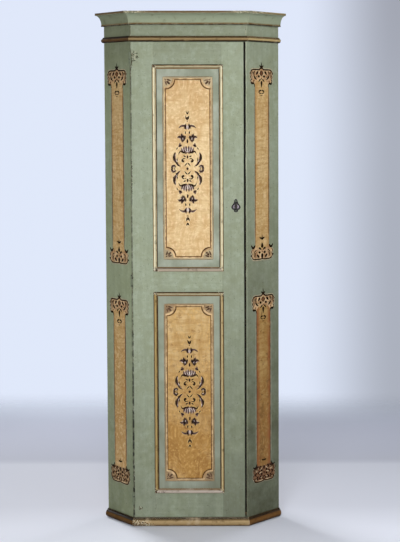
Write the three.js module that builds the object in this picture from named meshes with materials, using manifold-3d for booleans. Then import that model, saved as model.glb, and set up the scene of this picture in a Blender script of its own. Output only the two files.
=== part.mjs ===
// A painted corner cupboard: a flat front with one panelled door between two canted side boards,
// and two plain back walls that meet at a right angle and stand in the corner of a room.
// Millimetres, +Z up. The door faces -Y and the corner of the room lies at +Y.
// The origin is on the floor, under the middle of the whole piece.
import * as THREE from "three";
import { mergeVertices } from "three/addons/utils/BufferGeometryUtils.js";
import Module from "manifold-3d";

const wasm = await Module();
wasm.setup();

// The case
const overallHeight = 2000;
const frontWidth = 446; // from arris to arris
const cantWidth = 167.5; // face of each canted side board
const boardThickness = 22; // side boards, front rails and door frame
const topBoardThickness = 18;
const backBoardThickness = 14;
const backBoardsPerWall = 2;
const backBoardJoint = 0.6; // open joint between two back boards
const rearRebateWidth = 10; // how far a back board laps into a side board
const lockEdgeWidth = 6; // strip of the lock side board that shows beside the door
const glueGap = 0.3; // left in every joint that is nailed or glued at an angle

// Shelves and floor of the case
const bottomBoardThickness = 18;
const bottomBoardRise = 12; // top of the floor board over the base moulding
const shelfCount = 3;
const shelfThickness = 18;
const shelfSetback = 20; // front edge behind the back of the door
const cleatWidth = 22;
const cleatHeight = 25;
const cleatCornerGap = 4; // between the two cleats of a shelf, at the back corner

// Front rails
const railTenonLength = 8;
const railTenonThickness = 7;
const railTenonSetback = 11; // face of the rail to its tenon
const railTenonShoulder = 8;
const tenonFit = 0.15; // play on each side of a tenon

// Cornice: a square top fillet, a cove and a square foot
const corniceHeight = 50;
const corniceProjection = 43;
const corniceFilletHeight = 9;
const corniceFilletStep = 3;
const corniceFootHeight = 4.5;
const corniceFootProjection = 14;
const corniceFootStep = 1.5;

// Frieze and the bead below it
const friezeHeight = 42.5;
const beadHeight = 20.5;
const beadProjection = 14.5;
const beadFilletHeight = 3.5;
const beadFilletProjection = 7;

// Base moulding
const baseHeight = 33;
const baseProjection = 14;
const baseFilletHeight = 4;
const baseFilletProjection = 5;

// Joints round the door
const doorTopGap = 1.5;
const doorBottomGap = 1.5;
const doorLockGap = 6; // the open dark joint on the lock side
const doorHingeGap = 1;
const doorStopGap = 1;
const stopDepth = 15;
const stopCover = 14; // how far the stop reaches behind the door

// Door frame
const hingeStileWidth = 87.5;
const lockStileWidth = 86;
const topRailHeight = 92;
const middleRailHeight = 91.5;
const bottomRailHeight = 101;
const lowerOpeningHeight = 780.5;
const grooveSetback = 7; // face of the frame to the panel groove
const grooveWidth = 8;
const grooveDepth = 10;
const tenonLength = 60;
const tenonShoulder = 15; // at the outer edge of the top and bottom rails

// Raised and fielded panels
const panelEdgePlay = 1; // panel edge to the bottom of its groove
const panelFit = 0.2; // play on each face of the panel's tongue
const fieldSideMargin = 23; // sloping margin beside the field
const fieldEndMargin = 30; // and above and below it
const bevelRise = 2.2;
const fieldStep = 1;

// Moulding planted round each panel: a half round, then a hollow down to the panel
const mouldingWidth = 17;
const mouldingLap = 6; // over the frame
const mouldingRoundWidth = 10.5;
const mouldingEdge = 1.2;
const mouldingProud = 5.2;
const mouldingHollowDepth = 5.5;
const mouldingLip = 1;

// Butt hinges, let into the mitred joint at the hinge side
const hingeHeight = 46;
const topHingeInset = 62; // middle of the top hinge below the top of the door
const bottomHingeInset = 74; // middle of the bottom hinge above the foot of the door
const hingeProud = 3; // axis of the pin outside the arris
const knuckleRadius = 4.5;
const knuckleRelief = 0.6;
const knuckleGap = 0.3;
const pinRadius = 1.9;
const pinPlay = 0.1;
const pinHeadRadius = 3.4;
const pinHeadHeight = 2.2;
const leafWidth = 18;
const leafThickness = 1.6;
const leafGap = 0.3; // between the two closed leaves
const leafFit = 0.2;

// Lock, let into the back of the lock stile
const keyholeHeight = 1257; // middle of the keyhole over the floor
const keyholeBackset = 32; // middle of the keyhole to the edge of the door
const keyholeSlotWidth = 5.6;
const keyholeRadius = 3.6;
const keyholeLength = 20;
const lockCaseWidth = 58;
const lockCaseBelow = 35; // foot of the lock case below the middle of the keyhole
const lockCaseAbove = 43;
const lockSkin = 7; // wood left in front of the lock
const lockPlate = 1.4;
const lockFit = 0.2;
const edgePlateThickness = 1.8;
const edgePlateReach = 15; // edge plate beyond the case, above and below
const boltHeight = 16;
const boltThickness = 7;
const boltLength = 41;
const boltRise = 14; // lower edge of the bolt over the middle of the keyhole
const boltInset = 0.5; // end of the drawn bolt behind the edge of the door
const boltTravel = 13;
const boltFit = 0.3;
const boltNotchWidth = 12;
const boltNotchDepth = 3.5;
const boltMortiseSpare = 2.5;
const springThickness = 1.2;
const springWidth = 5;
const springReachShare = 0.62; // of the width inside the case
const keyPinRadius = 1.6;
const keyPinLength = 8;
const keyPinRise = 4; // key pin over the middle of the keyhole

// Keyhole plate
const escutcheonHeight = 52;
const escutcheonWidth = 36;
const escutcheonThickness = 1.6;

// How finely round shapes are cut
const arcSteps = 10;
const hingeSides = 24;
const cutOverrun = 1;

// The room's corner is square, so the canted boards stand at half of that to the front
const cantAngle = Math.PI / 4;
const cantCos = Math.cos(cantAngle);
const cantSin = Math.sin(cantAngle);
const mitreTan = Math.tan(cantAngle / 2);
const mitreCos = Math.cos(cantAngle / 2);
const mitreSin = Math.sin(cantAngle / 2);

// Heights
const corniceBottom = overallHeight - corniceHeight;
const beadTop = corniceBottom - friezeHeight;
const beadBottom = beadTop - beadHeight;
const carcassTop = overallHeight - topBoardThickness;
const doorTop = beadBottom - doorTopGap;
const doorBottom = baseHeight + doorBottomGap;
const bottomBoardTop = baseHeight + bottomBoardRise;
const lowerOpening = { bottom: doorBottom + bottomRailHeight };
lowerOpening.top = lowerOpening.bottom + lowerOpeningHeight;
const upperOpening = { bottom: lowerOpening.top + middleRailHeight, top: doorTop - topRailHeight };

// Plan: the front corner, the end on the wall and the back corner of the body
const halfFront = frontWidth / 2;
const cantDepth = cantWidth * cantSin;
const bodyHalfWidth = halfFront + cantWidth * cantCos;
const cornerDepth = cantDepth + bodyHalfWidth;
const wallLength = bodyHalfWidth / cantCos;

// The door, from the hinge arris to the open joint at the lock side
const lockEdge = halfFront - lockEdgeWidth;
const doorLockEdge = lockEdge - doorLockGap;
const openingLeft = -halfFront + hingeStileWidth;
const openingRight = doorLockEdge - lockStileWidth;
const grooveBack = grooveSetback + grooveWidth;

const paint = { color: 0x8fa08c, roughness: 0.75, metalness: 0 };
const gilt = { color: 0xc9a86a, roughness: 0.5, metalness: 0.2 };
const ochre = { color: 0xd3ab6b, roughness: 0.7, metalness: 0 };
const bareWood = { color: 0x8a6a48, roughness: 0.9, metalness: 0 };
const iron = { color: 0x2b2723, roughness: 0.6, metalness: 0.7 };

const cupboard = new THREE.Group();
cupboard.position.y = (corniceProjection - cornerDepth) / 2;

function addPiece(name, geometry, finish) {
  const mesh = new THREE.Mesh(geometry, new THREE.MeshStandardMaterial(finish));
  mesh.name = name;
  cupboard.add(mesh);
}

// Points in plan. side is -1 for the hinge side and 1 for the lock side.
// A point of a canted board: along its face from the arris, and inward from its face.
function onCant(side, along, inward) {
  const x = side * (halfFront + along * cantCos - inward * cantSin);
  return new THREE.Vector2(x, along * cantSin + inward * cantCos);
}

// A point of a back wall: along it from the corner of the room, and inward from the wall.
function onWall(side, along, inward) {
  const x = side * (along * cantCos - inward * cantSin);
  return new THREE.Vector2(x, cornerDepth - along * cantSin - inward * cantCos);
}

// A point of the mitred hinge joint: inward from the arris, and towards the door from the mitre.
function onMitre(inward, towardsDoor) {
  const x = -halfFront + inward * mitreSin + towardsDoor * mitreCos;
  return new THREE.Vector2(x, inward * mitreCos - towardsDoor * mitreSin);
}

// The outer face of the body, moved outwards by a projection, at a front corner or at a wall
function frontCorner(side, projection) {
  return new THREE.Vector2(side * (halfFront + projection * mitreTan), -projection);
}

function wallEnd(side, projection) {
  return onCant(side, cantWidth, -projection);
}

// An upright board: its plan, raised from one height to another
function upright(planPoints, bottom, top) {
  const geometry = new THREE.ExtrudeGeometry(new THREE.Shape(planPoints), {
    depth: top - bottom,
    bevelEnabled: false,
  });
  return geometry.translate(0, 0, bottom);
}

// A plate that faces -Y: its outline in x and z, from one depth to another behind the face
function facing(shape, front, back) {
  const geometry = new THREE.ExtrudeGeometry(shape, {
    depth: back - front,
    bevelEnabled: false,
    curveSegments: arcSteps,
  });
  return geometry.rotateX(Math.PI / 2).translate(0, back, 0);
}

function block(xRange, yRange, zRange) {
  const size = [xRange, yRange, zRange].map(([low, high]) => high - low);
  const middle = [xRange, yRange, zRange].map(([low, high]) => (low + high) / 2);
  return new THREE.BoxGeometry(...size).translate(...middle);
}

function post(radius, centre, bottom, top) {
  const geometry = new THREE.CylinderGeometry(radius, radius, top - bottom, hingeSides);
  return geometry.rotateX(Math.PI / 2).translate(centre.x, centre.y, (top + bottom) / 2);
}

// Solids for cuts and joins
function solid(geometry) {
  const bare = geometry.clone();
  bare.deleteAttribute("normal");
  bare.deleteAttribute("uv");
  const merged = mergeVertices(bare);
  return new wasm.Manifold(
    new wasm.Mesh({
      numProp: 3,
      vertProperties: new Float32Array(merged.attributes.position.array),
      triVerts: new Uint32Array(merged.index.array),
    }),
  );
}

function geometryOf(body) {
  const mesh = body.getMesh();
  const geometry = new THREE.BufferGeometry();
  geometry.setAttribute("position", new THREE.BufferAttribute(mesh.vertProperties, 3));
  geometry.setIndex(new THREE.BufferAttribute(mesh.triVerts, 1));
  geometry.computeVertexNormals();
  return geometry;
}

function shaped(base, joins, cuts) {
  let body = solid(base);
  for (const join of joins) body = body.add(solid(join));
  for (const cut of cuts) body = body.subtract(solid(cut));
  return geometryOf(body);
}

// A closed mesh from rows of points, one row inside the next, with both ends capped
function skinned(rows, capTriangles) {
  const count = rows[0].length;
  const positions = rows.flat().flatMap((point) => [point.x, point.y, point.z]);
  const triangles = [];
  for (let row = 0; row + 1 < rows.length; row++) {
    for (let i = 0; i < count; i++) {
      const near = row * count + i;
      const next = row * count + ((i + 1) % count);
      triangles.push([near, next, near + count], [next, next + count, near + count]);
    }
  }
  const last = (rows.length - 1) * count;
  for (const [a, b, c] of capTriangles) triangles.push([c, b, a], [last + a, last + b, last + c]);
  const geometry = new THREE.BufferGeometry();
  geometry.setAttribute("position", new THREE.Float32BufferAttribute(positions, 3));
  const inwards = signedVolume(positions, triangles) < 0;
  geometry.setIndex(triangles.flatMap((corners) => (inwards ? corners.reverse() : corners)));
  geometry.computeVertexNormals();
  return geometry;
}

function signedVolume(positions, triangles) {
  const corner = (i) => new THREE.Vector3().fromArray(positions, 3 * i);
  const parts = triangles.map(([a, b, c]) => corner(a).dot(corner(b).cross(corner(c))));
  return parts.reduce((sum, part) => sum + part, 0) / 6;
}

// A length of moulding: its section swept from one mitred end to the other
function mouldingRun(section, startOf, endOf) {
  const outline = THREE.ShapeUtils.isClockWise(section) ? [...section].reverse() : section;
  const caps = THREE.ShapeUtils.triangulateShape(outline, []);
  return skinned([outline.map(startOf), outline.map(endOf)], caps);
}

// Points along a quarter or half of an ellipse, from one angle to another
function ellipseArc(centreX, centreY, radiusX, radiusY, from, to) {
  const points = [];
  for (let step = 0; step <= arcSteps; step++) {
    const angle = from + ((to - from) * step) / arcSteps;
    points.push(
      new THREE.Vector2(centreX + radiusX * Math.cos(angle), centreY + radiusY * Math.sin(angle)),
    );
  }
  return points;
}

// Sections of the three mouldings of the case: projection, and height over their foot
function corniceSection() {
  const coveFoot = corniceFootProjection - corniceFootStep;
  const coveTop = corniceProjection - corniceFilletStep;
  const coveRise = corniceHeight - corniceFilletHeight - corniceFootHeight;
  const hollow = ellipseArc(coveTop, corniceFootHeight, coveTop - coveFoot, coveRise,
    Math.PI, Math.PI / 2);
  return [
    new THREE.Vector2(0, 0),
    new THREE.Vector2(corniceFootProjection, 0),
    new THREE.Vector2(corniceFootProjection, corniceFootHeight),
    ...hollow,
    new THREE.Vector2(corniceProjection, corniceHeight - corniceFilletHeight),
    new THREE.Vector2(corniceProjection, corniceHeight),
    new THREE.Vector2(0, corniceHeight),
  ];
}

// A half round under a small square fillet
function roundedSection(height, projection, filletHeight, filletProjection) {
  const roundHeight = height - filletHeight;
  const flat = filletProjection / 2;
  const nose = ellipseArc(flat, roundHeight / 2, projection - flat, roundHeight / 2,
    -Math.PI / 2, Math.PI / 2);
  return [
    new THREE.Vector2(0, 0),
    ...nose,
    new THREE.Vector2(filletProjection, roundHeight),
    new THREE.Vector2(filletProjection, height),
    new THREE.Vector2(0, height),
  ];
}

// A moulding goes round the front and both cants in three lengths, mitred at the arrises
function addCaseMoulding(name, section, foot, finish) {
  const raised = (plan, height) => new THREE.Vector3(plan.x, plan.y, foot + height);
  const halfMitre = glueGap / 2 / mitreCos;
  const frontEnd = (side) => (point) => {
    const corner = frontCorner(side, point.x);
    corner.x -= side * halfMitre;
    return raised(corner, point.y);
  };
  addPiece(`${name}_front`, mouldingRun(section, frontEnd(-1), frontEnd(1)), finish);
  const seated = section.map((point) => new THREE.Vector2(Math.max(point.x, glueGap), point.y));
  for (const [side, label] of [[-1, "left"], [1, "right"]]) {
    const arrisEnd = (point) => {
      const corner = frontCorner(side, point.x);
      corner.x += side * halfMitre * cantCos;
      corner.y += halfMitre * cantSin;
      return raised(corner, point.y);
    };
    const atWall = (point) => raised(wallEnd(side, point.x), point.y);
    addPiece(`${name}_${label}`, mouldingRun(seated, arrisEnd, atWall), finish);
  }
}

// The mitred edges beside the hinge joint, on the side board and on the front
const hingeMitreShift = doorHingeGap / 2 / mitreCos;
const glueMitreShift = glueGap / mitreCos;

// Where the hinge pins stand
const hingeAxis = onMitre(-hingeProud, 0);
const hingeHeights = [
  ["bottom", doorBottom + bottomHingeInset],
  ["middle", (doorBottom + bottomHingeInset + doorTop - topHingeInset) / 2],
  ["top", doorTop - topHingeInset],
];

// Lock sizes that its pieces and their pockets share
const keyhole = { x: doorLockEdge - keyholeBackset, z: keyholeHeight };
const lockBox = {
  left: doorLockEdge - lockCaseWidth,
  right: doorLockEdge - edgePlateThickness,
  front: lockSkin,
  back: boardThickness - lockPlate,
  bottom: keyhole.z - lockCaseBelow,
  top: keyhole.z + lockCaseAbove,
};
const boltBox = {
  left: doorLockEdge - boltInset - boltLength,
  right: doorLockEdge - boltInset,
  bottom: keyhole.z + boltRise,
  top: keyhole.z + boltRise + boltHeight,
};
const boltMiddle = (lockBox.front + lockPlate + lockBox.back) / 2;
const boltDepths = [boltMiddle - boltThickness / 2, boltMiddle + boltThickness / 2];

function widened([low, high], play) {
  return [low - play, high + play];
}

// Pockets for one hinge leaf and its knuckles. towards is 1 in the door and -1 in the side board.
function hingePockets(towards) {
  return hingeHeights.flatMap(([, middle]) => {
    const bottom = middle - hingeHeight / 2 - knuckleGap;
    const top = middle + hingeHeight / 2 + knuckleGap;
    const depth = towards * (leafGap / 2 + leafThickness + leafFit);
    const mouth = -towards * doorHingeGap;
    const reach = leafWidth - hingeProud + leafFit;
    const leafPlan = [onMitre(-hingeProud, mouth), onMitre(reach, mouth),
      onMitre(reach, depth), onMitre(-hingeProud, depth)];
    return [
      upright(leafPlan, bottom, top),
      post(knuckleRadius + knuckleRelief, hingeAxis, bottom, top + knuckleGap + pinHeadHeight),
    ];
  });
}

// The rear end of a side board, rebated for the back boards
function rearEdge(side) {
  const rebateStart = cantWidth - backBoardThickness - glueGap;
  const rebateFloor = boardThickness - rearRebateWidth;
  return [
    onCant(side, cantWidth, 0),
    onCant(side, cantWidth, rebateFloor),
    onCant(side, rebateStart, rebateFloor),
    onCant(side, rebateStart, boardThickness),
  ];
}

function hingeSideBoard() {
  const plan = [
    onCant(-1, hingeMitreShift, 0),
    ...rearEdge(-1),
    onCant(-1, boardThickness * mitreTan + hingeMitreShift, boardThickness),
  ];
  return shaped(upright(plan, 0, carcassTop), [], hingePockets(-1));
}

// The front edge is square to the front, so a strip of it shows beside the door
function lockSideBoard() {
  const innerFace = onCant(1, 0, boardThickness);
  const plan = [
    new THREE.Vector2(lockEdge, 0),
    new THREE.Vector2(halfFront, 0),
    ...rearEdge(1),
    new THREE.Vector2(lockEdge, lockEdge - innerFace.x + innerFace.y),
  ];
  const boltEnd = boltBox.right + boltTravel + boltMortiseSpare;
  const cuts = [
    block([lockEdge - cutOverrun, boltEnd], widened(boltDepths, boltFit),
      widened([boltBox.bottom, boltBox.top], boltFit)),
    ...frontRailHeights().map(([bottom, top]) => railTenon(bottom, top, tenonFit, cutOverrun)),
  ];
  return shaped(upright(plan, 0, carcassTop), [], cuts);
}

// The plinth rail and the frieze board are mitred to the hinge board, tenoned to the lock board
function frontRailHeights() {
  return [[0, baseHeight], [beadBottom, carcassTop]];
}

function railTenon(bottom, top, play, rootOverrun) {
  const depths = [railTenonSetback, railTenonSetback + railTenonThickness];
  return block([lockEdge - rootOverrun, lockEdge + railTenonLength + play], widened(depths, play),
    widened([bottom + railTenonShoulder, top - railTenonShoulder], play));
}

function frontRail([bottom, top]) {
  const hingeEnd = -halfFront + glueMitreShift;
  const plan = [
    new THREE.Vector2(hingeEnd, 0),
    new THREE.Vector2(lockEdge, 0),
    new THREE.Vector2(lockEdge, boardThickness),
    new THREE.Vector2(hingeEnd + boardThickness * mitreTan, boardThickness),
  ];
  return shaped(upright(plan, bottom, top), [railTenon(bottom, top, 0, cutOverrun)], []);
}

// Inside of the case in plan, behind a straight front edge
function insidePlan(frontEdge) {
  const cantInner = boardThickness + glueGap;
  const wallInner = backBoardThickness + glueGap;
  const frontPoint = (side) => {
    const start = onCant(side, 0, cantInner);
    return new THREE.Vector2(start.x + side * (frontEdge - start.y), frontEdge);
  };
  return [
    frontPoint(-1),
    frontPoint(1),
    onCant(1, cantWidth - wallInner, cantInner),
    onWall(1, wallInner, wallInner),
    onCant(-1, cantWidth - wallInner, cantInner),
  ];
}

function topPlan() {
  const back = new THREE.Vector2(0, cornerDepth);
  return [frontCorner(-1, 0), frontCorner(1, 0), wallEnd(1, 0), back, wallEnd(-1, 0)];
}

function shelfBottoms() {
  const clear = doorTop - bottomBoardTop - shelfCount * shelfThickness;
  const space = clear / (shelfCount + 1);
  return Array.from({ length: shelfCount }, (_, i) =>
    bottomBoardTop + (i + 1) * space + i * shelfThickness);
}

function cleat(side, shelfBottom) {
  const near = backBoardThickness + glueGap;
  const far = near + cleatWidth;
  const start = far + cleatCornerGap;
  const end = wallLength - boardThickness - glueGap;
  const plan = [onWall(side, start, near), onWall(side, end, near),
    onWall(side, end, far), onWall(side, start, far)];
  return upright(plan, shelfBottom - cleatHeight, shelfBottom);
}

// The hinge side wall runs through to the corner and the other wall butts against it
function backBoard(side, index) {
  const start = side < 0 ? 0 : backBoardThickness + glueGap;
  const end = wallLength - (boardThickness - rearRebateWidth) - glueGap;
  const joints = (backBoardsPerWall - 1) * backBoardJoint;
  const width = (end - start - joints) / backBoardsPerWall;
  const near = start + index * (width + backBoardJoint);
  const plan = [onWall(side, near, 0), onWall(side, near + width, 0),
    onWall(side, near + width, backBoardThickness), onWall(side, near, backBoardThickness)];
  return upright(plan, 0, carcassTop);
}

// The stop fits the slope of the lock side board and stands on the floor board
function doorStop() {
  const front = boardThickness + doorStopGap;
  const back = front + stopDepth;
  const inner = doorLockEdge - stopCover;
  const slope = onCant(1, 0, boardThickness + glueGap);
  const plan = [
    new THREE.Vector2(inner, front),
    new THREE.Vector2(slope.x + front - slope.y, front),
    new THREE.Vector2(slope.x + back - slope.y, back),
    new THREE.Vector2(inner, back),
  ];
  return upright(plan, bottomBoardTop, doorTop);
}

function addCase() {
  addPiece("side_board_left", hingeSideBoard(), paint);
  addPiece("side_board_right", lockSideBoard(), paint);
  for (const [side, label] of [[-1, "left"], [1, "right"]]) {
    for (let index = 0; index < backBoardsPerWall; index++) {
      addPiece(`back_board_${label}_${index + 1}`, backBoard(side, index), bareWood);
    }
  }
  const [plinthHeights, friezeHeights] = frontRailHeights();
  addPiece("plinth_rail", frontRail(plinthHeights), paint);
  addPiece("frieze_board", frontRail(friezeHeights), paint);
  addPiece("top_board", upright(topPlan(), carcassTop, overallHeight), bareWood);
  const floorPlan = insidePlan(boardThickness + doorStopGap);
  addPiece("bottom_board", upright(floorPlan, bottomBoardTop - bottomBoardThickness, bottomBoardTop),
    bareWood);
  addPiece("door_stop", doorStop(), bareWood);
  const shelfPlan = insidePlan(boardThickness + shelfSetback);
  shelfBottoms().forEach((bottom, i) => {
    addPiece(`shelf_${i + 1}`, upright(shelfPlan, bottom, bottom + shelfThickness), bareWood);
    addPiece(`shelf_cleat_left_${i + 1}`, cleat(-1, bottom), bareWood);
    addPiece(`shelf_cleat_right_${i + 1}`, cleat(1, bottom), bareWood);
  });
  addCaseMoulding("cornice", corniceSection(), corniceBottom, paint);
  addCaseMoulding("bead",
    roundedSection(beadHeight, beadProjection, beadFilletHeight, beadFilletProjection),
    beadBottom, gilt);
  addCaseMoulding("base_moulding",
    roundedSection(baseHeight, baseProjection, baseFilletHeight, baseFilletProjection), 0, gilt);
}

// Tenon of each door rail, and the mortise that it fills when it is given play
function doorTenons(play) {
  const rails = [
    [doorBottom + tenonShoulder, lowerOpening.bottom - grooveDepth],
    [lowerOpening.top + grooveDepth, upperOpening.bottom - grooveDepth],
    [upperOpening.top + grooveDepth, doorTop - tenonShoulder],
  ];
  const inset = tenonFit - play;
  const depths = widened([grooveSetback, grooveBack], -inset);
  const ends = [
    [openingLeft - tenonLength - play, openingLeft + cutOverrun],
    [openingRight - cutOverrun, openingRight + tenonLength + play],
  ];
  return rails.map((heights) => ends.map((xRange) =>
    block(xRange, depths, widened(heights, -inset))));
}

// Grooves in the stile or stiles between two heights, where the panel edges lie
function stileGroove(edge, towardsPanel) {
  const xRange = [edge - towardsPanel * grooveDepth, edge + towardsPanel * cutOverrun];
  xRange.sort((a, b) => a - b);
  return [lowerOpening, upperOpening].map((opening) =>
    block(xRange, [grooveSetback, grooveBack], widened([opening.bottom, opening.top], grooveDepth)));
}

function hingeStile() {
  const plan = [
    new THREE.Vector2(-halfFront + hingeMitreShift, 0),
    new THREE.Vector2(openingLeft, 0),
    new THREE.Vector2(openingLeft, boardThickness),
    new THREE.Vector2(-halfFront + hingeMitreShift + boardThickness * mitreTan, boardThickness),
  ];
  const mortises = doorTenons(tenonFit).map(([left]) => left);
  const cuts = [...mortises, ...stileGroove(openingLeft, 1), ...hingePockets(1)];
  return shaped(upright(plan, doorBottom, doorTop), [], cuts);
}

// A round hole over a narrower slot, standing on end
function keyholePath(PathType) {
  const outline = new PathType();
  const top = keyhole.z + keyholeLength / 2 - keyholeRadius;
  const bottom = keyhole.z - keyholeLength / 2;
  const half = keyholeSlotWidth / 2;
  const join = Math.asin(half / keyholeRadius);
  outline.moveTo(keyhole.x - half, bottom);
  outline.lineTo(keyhole.x + half, bottom);
  outline.absarc(keyhole.x, top, keyholeRadius, join - Math.PI / 2, 3 * Math.PI / 2 - join, false);
  outline.closePath();
  return outline;
}

function lockStile() {
  const blank = block([openingRight, doorLockEdge], [0, boardThickness], [doorBottom, doorTop]);
  const mortises = doorTenons(tenonFit).map(([, right]) => right);
  const lockBack = boardThickness + cutOverrun;
  const cuts = [
    ...mortises,
    ...stileGroove(openingRight, -1),
    block([lockBox.left - lockFit, doorLockEdge + cutOverrun], [lockBox.front, lockBack],
      widened([lockBox.bottom, lockBox.top], lockFit)),
    block([lockBox.right - lockFit, doorLockEdge + cutOverrun], [lockBox.front, lockBack],
      widened([lockBox.bottom, lockBox.top], edgePlateReach + lockFit)),
    facing(keyholePath(THREE.Shape), -cutOverrun, lockBox.front + cutOverrun),
  ];
  return shaped(blank, [], cuts);
}

function doorRail(bottom, top, tenons, grooveEdges) {
  const blank = block([openingLeft, openingRight], [0, boardThickness], [bottom, top]);
  const grooves = grooveEdges.map((edge) =>
    block([openingLeft - tenonLength, openingRight + tenonLength], [grooveSetback, grooveBack],
      widened([edge, edge], grooveDepth)));
  return shaped(blank, tenons, grooves);
}

// A rectangle that faces -Y, with its edges moved inwards by a side and an end margin
function rectangle(opening, sideInset, endInset, depth) {
  const left = openingLeft + sideInset;
  const right = openingRight - sideInset;
  const bottom = opening.bottom + endInset;
  const top = opening.top - endInset;
  return [[left, bottom], [right, bottom], [right, top], [left, top]].map(
    ([x, z]) => new THREE.Vector3(x, depth, z));
}

function panel(opening) {
  const tongue = panelEdgePlay - grooveDepth;
  const visible = mouldingWidth - mouldingLap;
  const margin = grooveSetback + panelFit;
  const field = [visible + fieldSideMargin, visible + fieldEndMargin];
  const square = [[0, 1, 2], [0, 2, 3]];
  return skinned([
    rectangle(opening, tongue, tongue, grooveBack - panelFit),
    rectangle(opening, tongue, tongue, margin),
    rectangle(opening, visible, visible, margin),
    rectangle(opening, ...field, margin - bevelRise),
    rectangle(opening, ...field, margin - bevelRise - fieldStep),
  ], square);
}

// Section of the planted moulding: inwards from its outer edge, and height over the frame
function panelMouldingSection() {
  const round = mouldingRoundWidth / 2;
  const seat = -(grooveSetback + panelFit);
  const hollowWidth = mouldingWidth - mouldingLip - mouldingRoundWidth;
  const hollow = ellipseArc(mouldingWidth - mouldingLip, mouldingEdge, hollowWidth,
    mouldingHollowDepth, Math.PI, 3 * Math.PI / 2);
  return [
    new THREE.Vector2(0, 0),
    ...ellipseArc(round, mouldingEdge, round, mouldingProud - mouldingEdge, Math.PI, 0),
    ...hollow.slice(1),
    new THREE.Vector2(mouldingWidth, mouldingEdge - mouldingHollowDepth),
    new THREE.Vector2(mouldingWidth, seat),
    new THREE.Vector2(mouldingLap + glueGap, seat),
    new THREE.Vector2(mouldingLap + glueGap, 0),
  ];
}

// Four mitred lengths of moulding round one panel
function addPanelMouldings(panelName, opening) {
  const section = panelMouldingSection();
  const ends = {
    left: openingLeft - mouldingLap,
    right: openingRight + mouldingLap,
    bottom: opening.bottom - mouldingLap,
    top: opening.top + mouldingLap,
  };
  const play = glueGap * Math.SQRT1_2;
  const uprightRun = (side, edge) => mouldingRun(
    section,
    (point) => new THREE.Vector3(edge - side * point.x, -point.y, ends.bottom + point.x + play),
    (point) => new THREE.Vector3(edge - side * point.x, -point.y, ends.top - point.x - play),
  );
  const levelRun = (side, edge) => mouldingRun(
    section,
    (point) => new THREE.Vector3(ends.left + point.x + play, -point.y, edge - side * point.x),
    (point) => new THREE.Vector3(ends.right - point.x - play, -point.y, edge - side * point.x),
  );
  addPiece(`${panelName}_moulding_left`, uprightRun(-1, ends.left), gilt);
  addPiece(`${panelName}_moulding_right`, uprightRun(1, ends.right), gilt);
  addPiece(`${panelName}_moulding_bottom`, levelRun(-1, ends.bottom), gilt);
  addPiece(`${panelName}_moulding_top`, levelRun(1, ends.top), gilt);
}

function addDoor() {
  const [bottomTenons, middleTenons, topTenons] = doorTenons(0);
  addPiece("door_stile_hinge", hingeStile(), paint);
  addPiece("door_stile_lock", lockStile(), paint);
  addPiece("door_rail_bottom",
    doorRail(doorBottom, lowerOpening.bottom, bottomTenons, [lowerOpening.bottom]), paint);
  addPiece("door_rail_middle",
    doorRail(lowerOpening.top, upperOpening.bottom, middleTenons,
      [lowerOpening.top, upperOpening.bottom]), paint);
  addPiece("door_rail_top",
    doorRail(upperOpening.top, doorTop, topTenons, [upperOpening.top]), paint);
  for (const [label, opening] of [["lower", lowerOpening], ["upper", upperOpening]]) {
    addPiece(`${label}_panel`, panel(opening), ochre);
    addPanelMouldings(`${label}_panel`, opening);
  }
}

// One leaf of a butt hinge. The frame leaf carries the two outer knuckles, the door leaf the middle.
function hingeLeaf(towards, middle) {
  const bottom = middle - hingeHeight / 2;
  const knuckle = hingeHeight / 3;
  const outer = [[bottom, bottom + knuckle], [bottom + 2 * knuckle, bottom + hingeHeight]];
  const inner = [[bottom + knuckle + knuckleGap, bottom + 2 * knuckle - knuckleGap]];
  const [own, other] = towards > 0 ? [inner, outer] : [outer, inner];
  const near = towards * leafGap / 2;
  const far = towards * (leafGap / 2 + leafThickness);
  const reach = leafWidth - hingeProud;
  const plate = [onMitre(-hingeProud, near), onMitre(reach, near), onMitre(reach, far),
    onMitre(-hingeProud, far)];
  const clearRadius = knuckleRadius + knuckleGap;
  const clearings = other.map((heights) => {
    const [low, high] = widened(heights, knuckleGap);
    return post(clearRadius, hingeAxis, low, high);
  });
  const bore = post(pinRadius + pinPlay, hingeAxis, bottom - cutOverrun,
    bottom + hingeHeight + cutOverrun);
  const base = solid(upright(plate, bottom, bottom + hingeHeight));
  const cleared = clearings.reduce((body, cut) => body.subtract(solid(cut)), base);
  const joined = own.reduce((body, [low, high]) =>
    body.add(solid(post(knuckleRadius, hingeAxis, low, high))), cleared);
  return geometryOf(joined.subtract(solid(bore)));
}

function hingePin(middle) {
  const bottom = middle - hingeHeight / 2;
  const top = middle + hingeHeight / 2;
  const headBottom = top + knuckleGap / 2;
  return shaped(post(pinRadius, hingeAxis, bottom, headBottom + pinHeadHeight),
    [post(pinHeadRadius, hingeAxis, headBottom, headBottom + pinHeadHeight)], []);
}

function addHinges() {
  for (const [label, middle] of hingeHeights) {
    addPiece(`hinge_${label}_frame_leaf`, hingeLeaf(-1, middle), iron);
    addPiece(`hinge_${label}_door_leaf`, hingeLeaf(1, middle), iron);
    addPiece(`hinge_${label}_pin`, hingePin(middle), iron);
  }
}

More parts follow.
